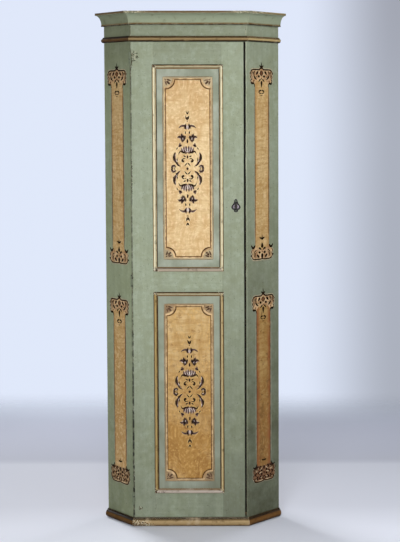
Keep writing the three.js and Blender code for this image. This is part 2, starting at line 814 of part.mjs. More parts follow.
// The lock case is a tray that opens to the back, with the edge plate as its right wall
function lockCase() {
  const heights = [lockBox.bottom, lockBox.top];
  const tray = block([lockBox.left, lockBox.right], [lockBox.front, lockBox.back], heights);
  const edgePlate = block([lockBox.right, doorLockEdge], [lockBox.front, boardThickness],
    widened(heights, edgePlateReach));
  const hollow = block([lockBox.left + lockPlate, lockBox.right],
    [lockBox.front + lockPlate, lockBox.back + cutOverrun], widened(heights, -lockPlate));
  const boltSlot = block([lockBox.right - cutOverrun, doorLockEdge + cutOverrun],
    widened(boltDepths, boltFit), widened([boltBox.bottom, boltBox.top], boltFit));
  const keySlot = facing(keyholePath(THREE.Shape), lockBox.front - cutOverrun,
    lockBox.front + lockPlate + cutOverrun);
  return shaped(tray, [edgePlate], [hollow, boltSlot, keySlot]);
}

function lockBolt() {
  const bar = block([boltBox.left, boltBox.right], boltDepths, [boltBox.bottom, boltBox.top]);
  const notch = block(widened([keyhole.x, keyhole.x], boltNotchWidth / 2),
    widened(boltDepths, cutOverrun),
    [boltBox.bottom - cutOverrun, boltBox.bottom + boltNotchDepth]);
  return shaped(bar, [], [notch]);
}

// A bent leaf spring, held at the hinge end of the case, that bears on top of the bolt
function boltSpring() {
  const inside = lockBox.right - lockBox.left - lockPlate;
  const left = lockBox.left + lockPlate + boltFit;
  const reach = left + inside * springReachShare;
  const roof = lockBox.top - lockPlate - boltFit;
  const seat = boltBox.top + boltFit;
  const tip = springThickness * 2;
  const outline = new THREE.Shape();
  outline.moveTo(left, roof);
  outline.lineTo(left, roof - springThickness);
  outline.lineTo(left + tip, roof - springThickness);
  outline.quadraticCurveTo(reach - tip, roof - springThickness, reach - tip, seat);
  outline.lineTo(reach, seat);
  outline.lineTo(reach, seat + springThickness);
  outline.quadraticCurveTo(reach - tip + springThickness, roof, left + tip, roof);
  outline.closePath();
  return facing(outline, boltMiddle - springWidth / 2, boltMiddle + springWidth / 2);
}

function keyPin() {
  const pin = new THREE.CylinderGeometry(keyPinRadius, keyPinRadius, keyPinLength, hingeSides);
  return pin.translate(keyhole.x, lockBox.back - keyPinLength / 2, keyhole.z + keyPinRise);
}

// The keyhole plate: a rounded top that spreads into two lobes, then a step in to a small foot
function escutcheon() {
  const half = escutcheonWidth / 2;
  const reach = escutcheonHeight / 2;
  const outlineShares = [
    { control: [0.26, 0.98], end: [0.36, 0.72] },
    { control: [0.42, 0.42], end: [0.72, 0.14] },
    { control: [1.14, -0.16], end: [0.94, -0.4] },
    { control: [0.84, -0.56], end: [0.5, -0.54] },
    { control: [0.38, -0.58], end: [0.46, -0.74] },
    { control: [0.42, -0.98], end: [0, -1] },
  ];
  const outline = new THREE.Shape();
  outline.moveTo(keyhole.x, keyhole.z + reach);
  for (const { control, end } of outlineShares) {
    outline.quadraticCurveTo(keyhole.x + control[0] * half, keyhole.z + control[1] * reach,
      keyhole.x + end[0] * half, keyhole.z + end[1] * reach);
  }
  const returning = outlineShares.map(({ control }, i) => ({
    control,
    end: i > 0 ? outlineShares[i - 1].end : [0, 1],
  }));
  for (const { control, end } of returning.reverse()) {
    outline.quadraticCurveTo(keyhole.x - control[0] * half, keyhole.z + control[1] * reach,
      keyhole.x - end[0] * half, keyhole.z + end[1] * reach);
  }
  outline.holes.push(keyholePath(THREE.Path));
  return facing(outline, -escutcheonThickness, 0);
}

function addLock() {
  addPiece("lock_case", lockCase(), iron);
  addPiece("lock_cover",
    block([lockBox.left, lockBox.right - lockFit], [lockBox.back, boardThickness],
      [lockBox.bottom, lockBox.top]), iron);
  addPiece("lock_bolt", lockBolt(), iron);
  addPiece("bolt_spring", boltSpring(), iron);
  addPiece("key_pin", keyPin(), iron);
  addPiece("escutcheon", escutcheon(), iron);
}

addCase();
addDoor();
addHinges();
addLock();

export default cupboard;
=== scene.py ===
"""Finishes and painted decoration of a corner cupboard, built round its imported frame.

The carcass and the door come from the frame and keep their shapes. This script gives every
piece of them its finish, and adds what the painter, the joiner and the locksmith added: the
ochre fields, the lines, the ornaments, the nails and the screws. Lengths in the drawings are
millimetres in the row frame, and meshes are metres.
"""

from __future__ import annotations

import logging
import math
import random
from dataclasses import dataclass
from enum import Enum
from functools import cache, partialmethod
from typing import Iterable, Sequence

import bpy
from mathutils import Matrix, Vector
from mathutils.geometry import tessellate_polygon

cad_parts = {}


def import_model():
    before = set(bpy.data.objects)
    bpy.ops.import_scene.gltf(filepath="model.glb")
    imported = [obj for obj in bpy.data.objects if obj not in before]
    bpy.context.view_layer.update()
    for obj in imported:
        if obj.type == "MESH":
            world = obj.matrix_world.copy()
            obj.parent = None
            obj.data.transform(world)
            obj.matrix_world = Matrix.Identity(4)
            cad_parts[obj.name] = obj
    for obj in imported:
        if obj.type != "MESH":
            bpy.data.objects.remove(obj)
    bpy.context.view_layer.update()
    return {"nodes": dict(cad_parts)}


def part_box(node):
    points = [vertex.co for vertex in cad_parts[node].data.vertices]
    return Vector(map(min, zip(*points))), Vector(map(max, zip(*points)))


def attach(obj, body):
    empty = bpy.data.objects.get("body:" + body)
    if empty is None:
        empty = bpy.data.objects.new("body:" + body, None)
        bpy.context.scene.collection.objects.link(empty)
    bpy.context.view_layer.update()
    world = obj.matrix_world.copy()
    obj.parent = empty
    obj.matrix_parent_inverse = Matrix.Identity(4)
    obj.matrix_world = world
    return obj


log = logging.getLogger("corner_cupboard")

Socket = bpy.types.NodeSocket
Group = bpy.types.NodeTree
Material = bpy.types.Material
Feed = Socket | float | tuple[float, ...]
Point = tuple[float, float]
Place = tuple[float, float, float]
Colour = tuple[int, int, int]

MM = 0.001
DIAGONAL = math.sqrt(0.5)
UP = Vector((0.0, 0.0, 1.0))
FRONT = Vector((0.0, -1.0, 0.0))


def linear(colour: Colour) -> tuple[float, ...]:
    """Turns a colour on the usual 0 to 255 scale into the linear values that shaders take.

    Args:
        colour: its red, green and blue as they are read off a screen.

    Returns:
        Linear red, green and blue, and an alpha of one.
    """
    shares = [level / 255 for level in colour]
    return (*(share / 12.92 if share <= 0.04045 else ((share + 0.055) / 1.055) ** 2.4
              for share in shares), 1.0)


# Shader nodes.


class Graph:
    """Short calls for the shader nodes that the finishes are made of."""

    def __init__(self, tree: Group) -> None:
        """Keeps the tree that every call adds to."""
        self.tree = tree

    def feed(self, socket: Socket, value: Feed) -> None:
        """Links a socket, or sets its own value.

        Args:
            socket: the input.
            value: what goes into it.
        """
        if isinstance(value, bpy.types.NodeSocket):
            self.tree.links.new(value, socket)
        else:
            socket.default_value = value

    def node(self, kind: str, feeds: dict[str | int, Feed] | None = None,
             **options: object) -> bpy.types.Node:
        """Adds one node.

        Args:
            kind: the node's type without its ShaderNode prefix.
            feeds: what goes into its inputs, by name or number.
            options: the node's own settings.

        Returns:
            The node.
        """
        made = self.tree.nodes.new(f"ShaderNode{kind}")
        for name, value in options.items():
            setattr(made, name, value)
        for key, value in (feeds or {}).items():
            self.feed(made.inputs[key], value)
        return made

    def math(self, operation: str, *values: Feed) -> Socket:
        """Returns the result of one Math node."""
        return self.node("Math", dict(enumerate(values)), operation=operation).outputs[0]

    # The usual operations by their own names.
    plus = partialmethod(math, "ADD")
    minus = partialmethod(math, "SUBTRACT")
    times = partialmethod(math, "MULTIPLY")
    larger = partialmethod(math, "MAXIMUM")

    def vector(self, operation: str, *values: Feed) -> Socket:
        """Returns the result of one Vector Math node, for two operations a number."""
        made = self.node("VectorMath", dict(enumerate(values)), operation=operation)
        return made.outputs["Value" if operation in ("DOT_PRODUCT", "LENGTH") else "Vector"]

    def axes(self, place: Feed) -> tuple[Socket, Socket, Socket]:
        """Splits a place into its three coordinates."""
        x, y, z = self.node("SeparateXYZ", {0: place}).outputs
        return x, y, z

    def ramp(self, value: Feed, low: float, high: float, start: float = 0.0,
             end: float = 1.0) -> Socket:
        """Eases a value from low..high to start..end, and holds it beyond them.

        Args:
            value: what is eased.
            low, high: the values that give the start and the end.
            start, end: what comes out there and beyond.
        """
        feeds = {"Value": value, "From Min": low, "From Max": high, "To Min": start,
                 "To Max": end}
        made = self.node("MapRange", feeds, interpolation_type="SMOOTHSTEP", clamp=True)
        return made.outputs[0]

    def noise(self, place: Feed, scale: Feed, detail: float = 3.0, roughness: float = 0.55,
              distortion: float = 0.0) -> Socket:
        """Returns soft noise of about 0.3 to 0.7.

        Args:
            place: where it is read.
            scale: how fine it is.
            detail, roughness: how many finer layers it has, and how strong they are.
            distortion: how far it swirls.
        """
        feeds = {"Vector": place, "Scale": scale, "Detail": detail, "Roughness": roughness,
                 "Distortion": distortion}
        return self.node("TexNoise", feeds).outputs["Fac"]

    def blend(self, share: Feed, under: Socket | Colour, over: Socket | Colour) -> Socket:
        """Lays one colour over another by a share of 0 to 1.

        Args:
            share: how much of the upper colour shows.
            under, over: the lower and the upper colour.
        """
        made = self.node("Mix", {0: share}, data_type="RGBA", clamp_factor=True)
        for slot, value in ((6, under), (7, over)):
            self.feed(made.inputs[slot], linear(value) if isinstance(value, tuple) else value)
        return made.outputs[2]

    def bands(self, value: Feed, stops: Sequence[tuple[float, Colour]]) -> Socket:
        """Colours a 0 to 1 value by stops, eased between them.

        Args:
            value: what is coloured.
            stops: values and their colours, in order.
        """
        made = self.node("ValToRGB", {0: value})
        ramp = made.color_ramp
        while len(ramp.elements) < len(stops):
            ramp.elements.new(1.0)
        for element, (position, colour) in zip(ramp.elements, stops):
            element.position = position
            element.color = linear(colour)
        return made.outputs["Color"]


class Effect(Graph):
    """A shader node group under construction: what it is given and what it puts out."""

    KINDS = {1: "NodeSocketFloat", 3: "NodeSocketVector"}

    def __init__(self, name: str, **inputs: Feed) -> None:
        """Makes the group and its inputs.

        Args:
            name: the effect's name.
            inputs: each input's usual value.
        """
        super().__init__(bpy.data.node_groups.new(name, "ShaderNodeTree"))
        for label, usual in inputs.items():
            size = len(usual) if isinstance(usual, tuple) else 1
            socket = self.tree.interface.new_socket(name=label, in_out="INPUT",
                                                    socket_type=self.KINDS[size])
            socket.default_value = usual
        self.given = self.tree.nodes.new("NodeGroupInput").outputs

    def put_out(self, **results: Socket) -> Group:
        """Gives the group an output, a number, for each result.

        Args:
            results: each output's name and what it puts out.

        Returns:
            The group.
        """
        for name in results:
            self.tree.interface.new_socket(name=name, in_out="OUTPUT", socket_type=self.KINDS[1])
        outputs = self.tree.nodes.new("NodeGroupOutput").inputs
        for name, socket in results.items():
            self.feed(outputs[name], socket)
        return self.tree


class Effects:
    """The effects that more than one finish uses, each built once."""

    def __init__(self) -> None:
        """Builds every effect."""
        self.strokes = self._strokes()
        self.grain = self._grain()
        self.worn_edge = self._worn_edge()
        self.flaking = self._flaking()
        self.grime = self._grime()
        self.one_side = self._one_side()
        self.near = self._near()

    def _strokes(self) -> Group:
        """Marks that a brush leaves: fine furrows in broader, uneven passes.

        Returns:
            The group.
        """
        graph = Effect("brush_strokes", Place=(0.0, 0.0, 0.0), Stretch=(60.0, 60.0, 3.0),
                       Wander=0.004)
        drift = graph.node("TexNoise", {"Vector": graph.given["Place"], "Scale": 9.0,
                                        "Detail": 2.0})
        shift = graph.vector("SCALE", drift.outputs["Color"])
        graph.feed(shift.node.inputs["Scale"], graph.given["Wander"])
        along = graph.vector("MULTIPLY", graph.vector("ADD", graph.given["Place"], shift),
                             graph.given["Stretch"])
        fine = graph.noise(along, 9.0, 3.0)
        broad = graph.noise(along, 1.6, 2.0)
        tone = graph.plus(graph.times(fine, 0.45), graph.times(broad, 0.55))
        return graph.put_out(Tone=graph.ramp(tone, 0.36, 0.64), Height=fine)

    def _grain(self) -> Group:
        """Growth rings of a sawn board that runs along the axis with the small stretch.

        Returns:
            The group.
        """
        graph = Effect("sawn_grain", Place=(0.0, 0.0, 0.0), Stretch=(30.0, 30.0, 1.2), Rings=5.0)
        along = graph.vector("MULTIPLY", graph.given["Place"], graph.given["Stretch"])
        sway = graph.noise(along, 0.45, 2.0)
        rings = graph.math("FRACT", graph.times(sway, graph.given["Rings"]))
        late = graph.ramp(rings, 0.25, 0.95)
        fibre = graph.noise(graph.vector("MULTIPLY", along, (1.0, 1.0, 0.6)), 14.0, 4.0, 0.65)
        pores = graph.ramp(fibre, 0.56, 0.72)
        tone = graph.plus(graph.times(late, 0.6), graph.times(fibre, 0.4))
        height = graph.minus(tone, pores)
        return graph.put_out(Tone=tone, Pores=pores, Height=height)

    def _worn_edge(self) -> Group:
        """Where a sharp edge has lost its finish, broken up along its length.

        Returns:
            The group.
        """
        graph = Effect("worn_edge", Place=(0.0, 0.0, 0.0), Width=0.003, Amount=0.5)
        rounded = graph.node("Bevel", {"Radius": graph.given["Width"]}, samples=6).outputs[0]
        flat = graph.node("NewGeometry").outputs["Normal"]
        edge = graph.minus(1.0, graph.vector("DOT_PRODUCT", rounded, flat))
        reach = graph.ramp(edge, 0.0, 0.12)
        broken = graph.noise(graph.given["Place"], 55.0, 5.0, 0.7)
        level = graph.plus(reach, graph.minus(broken, 0.5))
        need = graph.minus(1.25, graph.given["Amount"])
        mask = graph.ramp(graph.minus(level, need), 0.0, 0.1)
        return graph.put_out(Mask=graph.times(mask, graph.ramp(edge, 0.0, 0.02)))

    def _flaking(self) -> Group:
        """Small islands where the top coat has come off, with their dark rims.

        Returns:
            The group.
        """
        graph = Effect("flaking", Place=(0.0, 0.0, 0.0), Scale=26.0, Amount=0.3)
        islands = graph.noise(graph.given["Place"], graph.given["Scale"], 6.0, 0.62, 0.6)
        need = graph.minus(0.86, graph.times(graph.given["Amount"], 0.4))
        over = graph.minus(islands, need)
        mask = graph.ramp(over, 0.0, 0.012)
        rim = graph.minus(graph.ramp(over, -0.02, -0.004), mask)
        return graph.put_out(Mask=mask, Rim=rim)

    def _grime(self) -> Group:
        """Dirt that lies thickest near the floor and hangs in vague runs above it.

        Returns:
            The group.
        """
        graph = Effect("grime", Place=(0.0, 0.0, 0.0), Reach=0.5, Everywhere=0.15)
        height = graph.axes(graph.given["Place"])[2]
        low = graph.minus(1.0, graph.math("DIVIDE", height, graph.given["Reach"]))
        clouds = graph.noise(graph.given["Place"], 6.0, 5.0, 0.6)
        runs = graph.noise(graph.vector("MULTIPLY", graph.given["Place"], (26.0, 26.0, 2.2)), 1.0,
                           4.0)
        spread = graph.times(clouds, runs)
        near = graph.times(graph.ramp(low, 0.0, 1.0), 0.75)
        mask = graph.times(graph.plus(near, graph.given["Everywhere"]),
                           graph.ramp(spread, 0.12, 0.42))
        return graph.put_out(Mask=mask)

    def _one_side(self) -> Group:
        """The faces of a piece that look one way, however the piece has turned.

        Returns:
            The group.
        """
        graph = Effect("one_side", Towards=(0.0, 1.0, 0.0), Least=0.5)
        facing = graph.node("TexCoord").outputs["Normal"]
        level = graph.vector("DOT_PRODUCT", facing, graph.given["Towards"])
        over = graph.minus(level, graph.given["Least"])
        return graph.put_out(Mask=graph.ramp(over, -0.05, 0.05))

    def _near(self) -> Group:
        """Specks that crowd round one point, for damage in a known place.

        Returns:
            The group.
        """
        graph = Effect("crowded_specks", Place=(0.0, 0.0, 0.0), Middle=(0.0, 0.0, 0.0),
                       Reach=(0.03, 0.03, 0.03), Amount=0.5)
        away = graph.vector("DIVIDE", graph.vector("SUBTRACT", graph.given["Place"],
                                                   graph.given["Middle"]), graph.given["Reach"])
        distance = graph.vector("LENGTH", away)
        inside = graph.ramp(distance, 1.15, 0.3)
        need = graph.minus(0.74, graph.times(graph.given["Amount"], graph.times(inside, 0.3)))
        results = {}
        for name, scale, move in (("Pale", 230.0, 3.1), ("Dark", 190.0, 7.7)):
            place = graph.vector("ADD", graph.given["Place"], (move, move, 0.0))
            level = graph.noise(place, scale, 4.0, 0.6)
            over = graph.ramp(graph.minus(level, need), 0.0, 0.02)
            results[name] = graph.times(over, graph.ramp(inside, 0.0, 0.1))
        return graph.put_out(**results)


@cache
def shared_effects() -> Effects:
    """Builds the shared effects at the first call, and returns the same ones at every other."""
    return Effects()


class Run(Enum):
    """Which way the grain and the brush strokes of a piece run."""

    UPRIGHT = (60.0, 60.0, 3.0)
    LEVEL = (3.0, 60.0, 60.0)


class Bare(Enum):
    """Which side of a painted piece the painter left bare, as the way it faces."""

    BACK = (0.0, 1.0, 0.0)
    LEFT_BOARD = (DIAGONAL, DIAGONAL, 0.0)
    RIGHT_BOARD = (-DIAGONAL, DIAGONAL, 0.0)


class Edge(Enum):
    """Which narrow edge of a piece is darkened, as the way it faces: dirt, and painted shade in
    the joint.
    """

    RIGHT = (1.0, 0.0, 0.0)
    LEFT = (-1.0, 0.0, 0.0)


@dataclass(frozen=True)
class Scar:
    """A place where the paint has gone in specks.

    Attributes:
        middle: where it is, in metres.
        reach: how far it spreads along each axis.
        amount: how dense the specks are, 0 to 1.
    """

    middle: Place
    reach: Place
    amount: float


@dataclass(frozen=True)
class Seam:
    """An upright line of dirt beside a joint.

    Attributes:
        x: where the joint is.
        reach: how far to each side of it the darkening lies, in metres.
        high: share of darkening at the top.
        low: share of darkening at the foot.
        broken: how patchy it is, 0 to 1.
        top: height where it ends, in metres.
    """

    x: float
    reach: float
    high: float
    low: float
    broken: float = 0.7
    top: float = 1.884


@dataclass(frozen=True)
class Ageing:
    """How a painted piece has aged, and the shade painted on it.

    Attributes:
        wear: how far the edges are rubbed through, 0 to 1.
        soil_and_shade: share of darkening at the foot of the piece: dirt and painted shade.
        soil_and_shade_top: height where that darkening ends, in metres.
        shade_wash: share of painted shade at the top of the cupboard.
        scars: places where the paint has come off.
        black_edge: an edge darkened with dirt and painted shade.
        seams: dark lines beside joints: dirt and painted shade.
        hole: middle of a hole through the piece whose inside is painted black as shade.
    """

    wear: float = 0.36
    soil_and_shade: float = 0.2
    soil_and_shade_top: float = 0.8
    shade_wash: float = 0.2
    scars: tuple[Scar, ...] = ()
    black_edge: Edge | None = None
    seams: tuple[Seam, ...] = ()
    hole: Place | None = None


class Coat(Graph):
    """A material under construction, with its coordinates and the colour laid so far."""

    RELIEF_SHARE = 0.6

    def __init__(self, name: str, gloss: float = 0.2) -> None:
        """Makes an empty material with its surface shader.

        Args:
            name: the material's name.
            gloss: how strongly the surface mirrors, where 0.5 is varnish.
        """
        self.material = bpy.data.materials.new(name)
        self.material.use_nodes = True
        super().__init__(self.material.node_tree)
        self.tree.nodes.clear()
        self.effects = shared_effects()
        self.spot = self.node("TexCoord").outputs["Object"]
        self.colour: Socket | Colour = (0, 0, 0)
        self.shader = self.node("BsdfPrincipled", {"Specular IOR Level": gloss})
        self.node("OutputMaterial", {"Surface": self.shader.outputs[0]})

    def place(self, group: Group, **feeds: Feed) -> dict[str, Socket]:
        """Places a shared effect at the coat's own coordinates.

        Args:
            group: the effect's node group.
            feeds: what goes into its other inputs.

        Returns:
            Its outputs by name.
        """
        made = self.tree.nodes.new("ShaderNodeGroup")
        made.node_tree = group
        if "Place" in made.inputs:
            feeds["Place"] = self.spot
        for name, value in feeds.items():
            self.feed(made.inputs[name], value)
        return {socket.name: socket for socket in made.outputs}

    def lay(self, share: Feed, over: Socket | Colour) -> None:
        """Lays a colour over what is there, by a share of 0 to 1."""
        self.colour = self.blend(share, self.colour, over)

    def finish(self, height: Feed, depth: float, **values: Feed) -> Material:
        """Links the colour, raises the surface and sets the rest of the shader.

        Args:
            height: the relief as a value of about 0 to 1.
            depth: what a height of 1 stands for, in metres.
            values: other inputs of the surface shader.

        Returns:
            The material.
        """
        bump = self.node("Bump", {"Height": height, "Distance": depth,
                                  "Strength": self.RELIEF_SHARE})
        values |= {"Base Color": self.colour, "Normal": bump.outputs[0]}
        for name, value in values.items():
            self.feed(self.shader.inputs[name], value)
        return self.material


# Finishes.


@dataclass(frozen=True)
class BareWood:
    """Old softwood that was never painted: sawn, darkened and dusty."""

    early: Colour = (148, 116, 80)
    late: Colour = (104, 74, 46)
    pore: Colour = (62, 44, 28)
    dust: Colour = (150, 140, 122)
    stain: Colour = (70, 54, 38)

    def colours(self, coat: Coat, run: Run) -> tuple[Socket, Socket]:
        """Makes the wood's colour.

        Args:
            coat: the material that it goes in.
            run: which way the board runs.

        Returns:
            The colour and the height of the grain.
        """
        stretch = tuple(value / 2.5 for value in run.value)
        grain = coat.place(coat.effects.grain, Stretch=stretch)
        colour = coat.blend(grain["Tone"], self.early, self.late)
        colour = coat.blend(coat.times(grain["Pores"], 0.7), colour, self.pore)
        clouds = coat.noise(coat.spot, 4.0, 4.0)
        colour = coat.blend(coat.ramp(clouds, 0.5, 0.75, 0.0, 0.6), colour, self.stain)
        dusty = coat.noise(coat.spot, 11.0, 5.0, 0.7)
        colour = coat.blend(coat.ramp(dusty, 0.52, 0.74, 0.0, 0.35), colour, self.dust)
        return colour, grain["Height"]

    def material(self, name: str, run: Run) -> Material:
        """Makes the finish for one way of the board.

        Args:
            name: the material's name.
            run: which way the board runs.

        Returns:
            The material.
        """
        coat = Coat(name)
        coat.colour, height = self.colours(coat, run)
        worn = coat.place(coat.effects.worn_edge, Width=0.003, Amount=0.55)["Mask"]
        coat.lay(coat.times(worn, 0.5), (176, 142, 100))
        return coat.finish(height, 0.0006, Roughness=coat.ramp(height, 0.2, 0.7, 0.88, 0.74))


@dataclass(frozen=True)
class GreenPaint:
    """Grey-green distemper on the case and the door, brushed, waxed and worn."""

    base: Colour = (157, 166, 143)
    pale: Colour = (168, 177, 156)
    olive: Colour = (148, 156, 128)
    furrow: Colour = (128, 135, 110)
    dirt: Colour = (70, 70, 50)
    ground: Colour = (186, 182, 158)
    timber: Colour = (92, 72, 48)
    joint: Colour = (12, 11, 6)
    edge: Colour = (46, 42, 30)
    hole_reach: float = 0.02
    inside: BareWood = BareWood()

    def material(self, name: str, run: Run, bare: Bare, ageing: Ageing = Ageing()) -> Material:
        """Makes the paint for one kind of piece.

        Args:
            name: the material's name.
            run: which way the brush went.
            bare: the side that shows bare wood.
            ageing: what time has done to it.

        Returns:
            The material.
        """
        coat = Coat(name)
        strokes = coat.place(coat.effects.strokes, Stretch=run.value)
        self._brush(coat, strokes["Tone"])
        self._age(coat, ageing)
        pale, dark = self._damage(coat, ageing)
        under = coat.blend(coat.ramp(coat.noise(coat.spot, 90.0, 3.0), 0.46, 0.56), self.ground,
                           self.timber)
        coat.lay(pale, under)
        coat.lay(dark, self.dirt)
        gone = coat.larger(pale, dark)
        side = coat.place(coat.effects.one_side, Towards=bare.value)["Mask"]
        wood, grain = self.inside.colours(coat, run)
        coat.lay(side, wood)
        # Dirt and painted shade: the edge that faces the open joint is darkened.
        if ageing.black_edge:
            black = coat.place(coat.effects.one_side, Towards=ageing.black_edge.value,
                               Least=0.9)["Mask"]
            coat.lay(black, self.edge)
        # Dark lines beside the joints: dirt and painted shade.
        for seam in ageing.seams:
            coat.lay(self._seam(coat, seam), self.joint)
        # Painted shade: the inside of the keyhole is painted near black.
        if ageing.hole:
            away = coat.vector("SUBTRACT", coat.spot, ageing.hole)
            flat = coat.vector("MULTIPLY", away, (1.0, 0.0, 1.0))
            radius = coat.vector("LENGTH", flat)
            deep = coat.ramp(coat.axes(away)[1], 0.0002, 0.0006)
            coat.lay(coat.times(deep, coat.ramp(radius, self.hole_reach, self.hole_reach * 0.9)),
                     self.joint)
        sheen = coat.ramp(coat.noise(coat.spot, 8.0, 4.0), 0.35, 0.7, 0.56, 0.7)
        rough = coat.larger(sheen, coat.times(coat.larger(gone, side), 0.84))
        film = coat.minus(coat.times(strokes["Height"], 0.6), gone)
        height = coat.plus(coat.times(film, coat.minus(1.0, side)), coat.times(grain, side))
        return coat.finish(height, 0.0004, Roughness=rough)

    def _brush(self, coat: Coat, tone: Socket) -> None:
        """Lays the paint: three near greens, mottled and brushed.

        Args:
            coat: the paint under construction.
            tone: light and dark of the brush strokes.
        """
        clouds = coat.noise(coat.spot, 4.0, 7.0, 0.72, 0.3)
        coat.colour = coat.blend(coat.ramp(clouds, 0.36, 0.64), self.olive, self.base)
        mottle = coat.noise(coat.spot, 38.0, 6.0, 0.7)
        coat.lay(coat.ramp(mottle, 0.44, 0.68, 0.0, 0.75), self.pale)
        coat.lay(coat.times(tone, 0.26), self.furrow)

    def _age(self, coat: Coat, ageing: Ageing) -> None:
        """Lays dirt and painted shade: darker at the foot from both, and darker at the top from
        painted shade.

        Args:
            coat: the paint under construction.
            ageing: what time has done to it.
        """
        height = coat.axes(coat.spot)[2]
        # Darker towards the floor, dirt and painted shade, and towards the top, painted shade.
        foot = coat.ramp(height, ageing.soil_and_shade_top, 0.0, 0.0, ageing.soil_and_shade)
        head = coat.ramp(height, 1.55, 2.0, 0.0, ageing.shade_wash)
        patchy = coat.ramp(coat.noise(coat.spot, 9.0, 5.0, 0.7), 0.3, 0.7, 0.75, 1.25)
        film = coat.times(coat.plus(foot, head), patchy)
        coat.lay(film, self.dirt)
        dirt = coat.place(coat.effects.grime, Reach=0.7, Everywhere=0.2)["Mask"]
        coat.lay(coat.times(dirt, 0.32), self.dirt)
        specks = coat.ramp(coat.noise(coat.spot, 170.0, 3.0, 0.6), 0.64, 0.7, 0.0, 0.5)
        coat.lay(specks, self.dirt)

    @staticmethod
    def _seam(coat: Coat, seam: Seam) -> Socket:
        """Returns how much of the dirt beside a joint lies at a place.

        Args:
            coat: the paint under construction.
            seam: the joint and its dirt.
        """
        x, _, height = coat.axes(coat.spot)
        away = coat.math("ABSOLUTE", coat.minus(x, seam.x))
        near = coat.ramp(away, seam.reach, seam.reach * 0.35)
        share = coat.ramp(height, 1.3, 0.15, seam.high, seam.low)
        broken = coat.ramp(coat.noise(coat.spot, 48.0, 3.0), 0.38, 0.58, 1.0 - seam.broken, 1.0)
        below = coat.ramp(height, seam.top + 0.006, seam.top)
        return coat.times(coat.times(near, below), coat.times(share, broken))

    def _damage(self, coat: Coat, ageing: Ageing) -> tuple[Socket, Socket]:
        """Returns where the ground shows, and where dirt has filled the damage.

        Args:
            coat: the paint under construction.
            ageing: what time has done to it.
        """
        flakes = coat.place(coat.effects.flaking, Scale=60.0, Amount=0.24)
        edge = coat.place(coat.effects.worn_edge, Width=0.0022, Amount=ageing.wear)["Mask"]
        pale = coat.larger(flakes["Mask"], edge)
        dark = flakes["Rim"]
        for scar in ageing.scars:
            specks = coat.place(coat.effects.near, Middle=scar.middle, Reach=scar.reach,
                                Amount=scar.amount)
            pale = coat.larger(pale, specks["Pale"])
            dark = coat.larger(dark, specks["Dark"])
        return pale, dark


@dataclass(frozen=True)
class PanelPaint:
    """A panel's sunk margin in a paler green, and the beige border of its raised field."""

    margin: Colour = (160, 167, 150)
    shade: Colour = (140, 147, 127)
    border: Colour = (186, 162, 124)
    border_shade: Colour = (158, 138, 104)
    inside: BareWood = BareWood()

    def material(self, name: str, corners: tuple[Vector, Vector]) -> Material:
        """Makes the paint of one panel.

        Args:
            name: the material's name.
            corners: lowest and highest corner of the raised field, in metres.

        Returns:
            The material.
        """
        coat = Coat(name)
        low, high = corners
        strokes = coat.place(coat.effects.strokes, Stretch=Run.UPRIGHT.value)
        clouds = coat.noise(coat.spot, 9.0, 4.0)
        green = coat.blend(coat.ramp(clouds, 0.36, 0.64), self.shade, self.margin)
        green = coat.blend(coat.times(strokes["Tone"], 0.25), green, self.shade)
        beige = coat.blend(coat.ramp(coat.noise(coat.spot, 22.0, 4.0), 0.4, 0.62),
                           self.border_shade, self.border)
        x, _, z = coat.axes(coat.spot)
        waver = coat.times(coat.minus(coat.noise(coat.spot, 30.0, 3.0), 0.5), 0.0012)
        inside = self._within(coat, x, waver, low.x, high.x)
        inside = coat.times(inside, self._within(coat, z, waver, low.z, high.z))
        coat.colour = coat.blend(inside, green, beige)
        dirt = coat.place(coat.effects.grime, Reach=0.9, Everywhere=0.3)["Mask"]
        coat.lay(coat.times(dirt, 0.42), (84, 76, 54))
        side = coat.place(coat.effects.one_side, Towards=Bare.BACK.value)["Mask"]
        wood, grain = self.inside.colours(coat, Run.UPRIGHT)
        coat.lay(side, wood)
        return coat.finish(coat.blend(side, strokes["Height"], grain), 0.0004,
                           Roughness=coat.ramp(clouds, 0.3, 0.7, 0.52, 0.7))

    @staticmethod
    def _within(coat: Coat, value: Socket, waver: Socket, low: float, high: float) -> Socket:
        """Returns 1 where a coordinate lies between two edges that waver by hand.

        Args:
            coat: the paint under construction.
            value: the coordinate.
            waver: how far the edges stray.
            low, high: the two edges, in metres.
        """
        moved = coat.plus(value, waver)
        above = coat.ramp(moved, low + 0.001, low + 0.002)
        below = coat.ramp(moved, high - 0.001, high - 0.002)
        return coat.times(above, below)


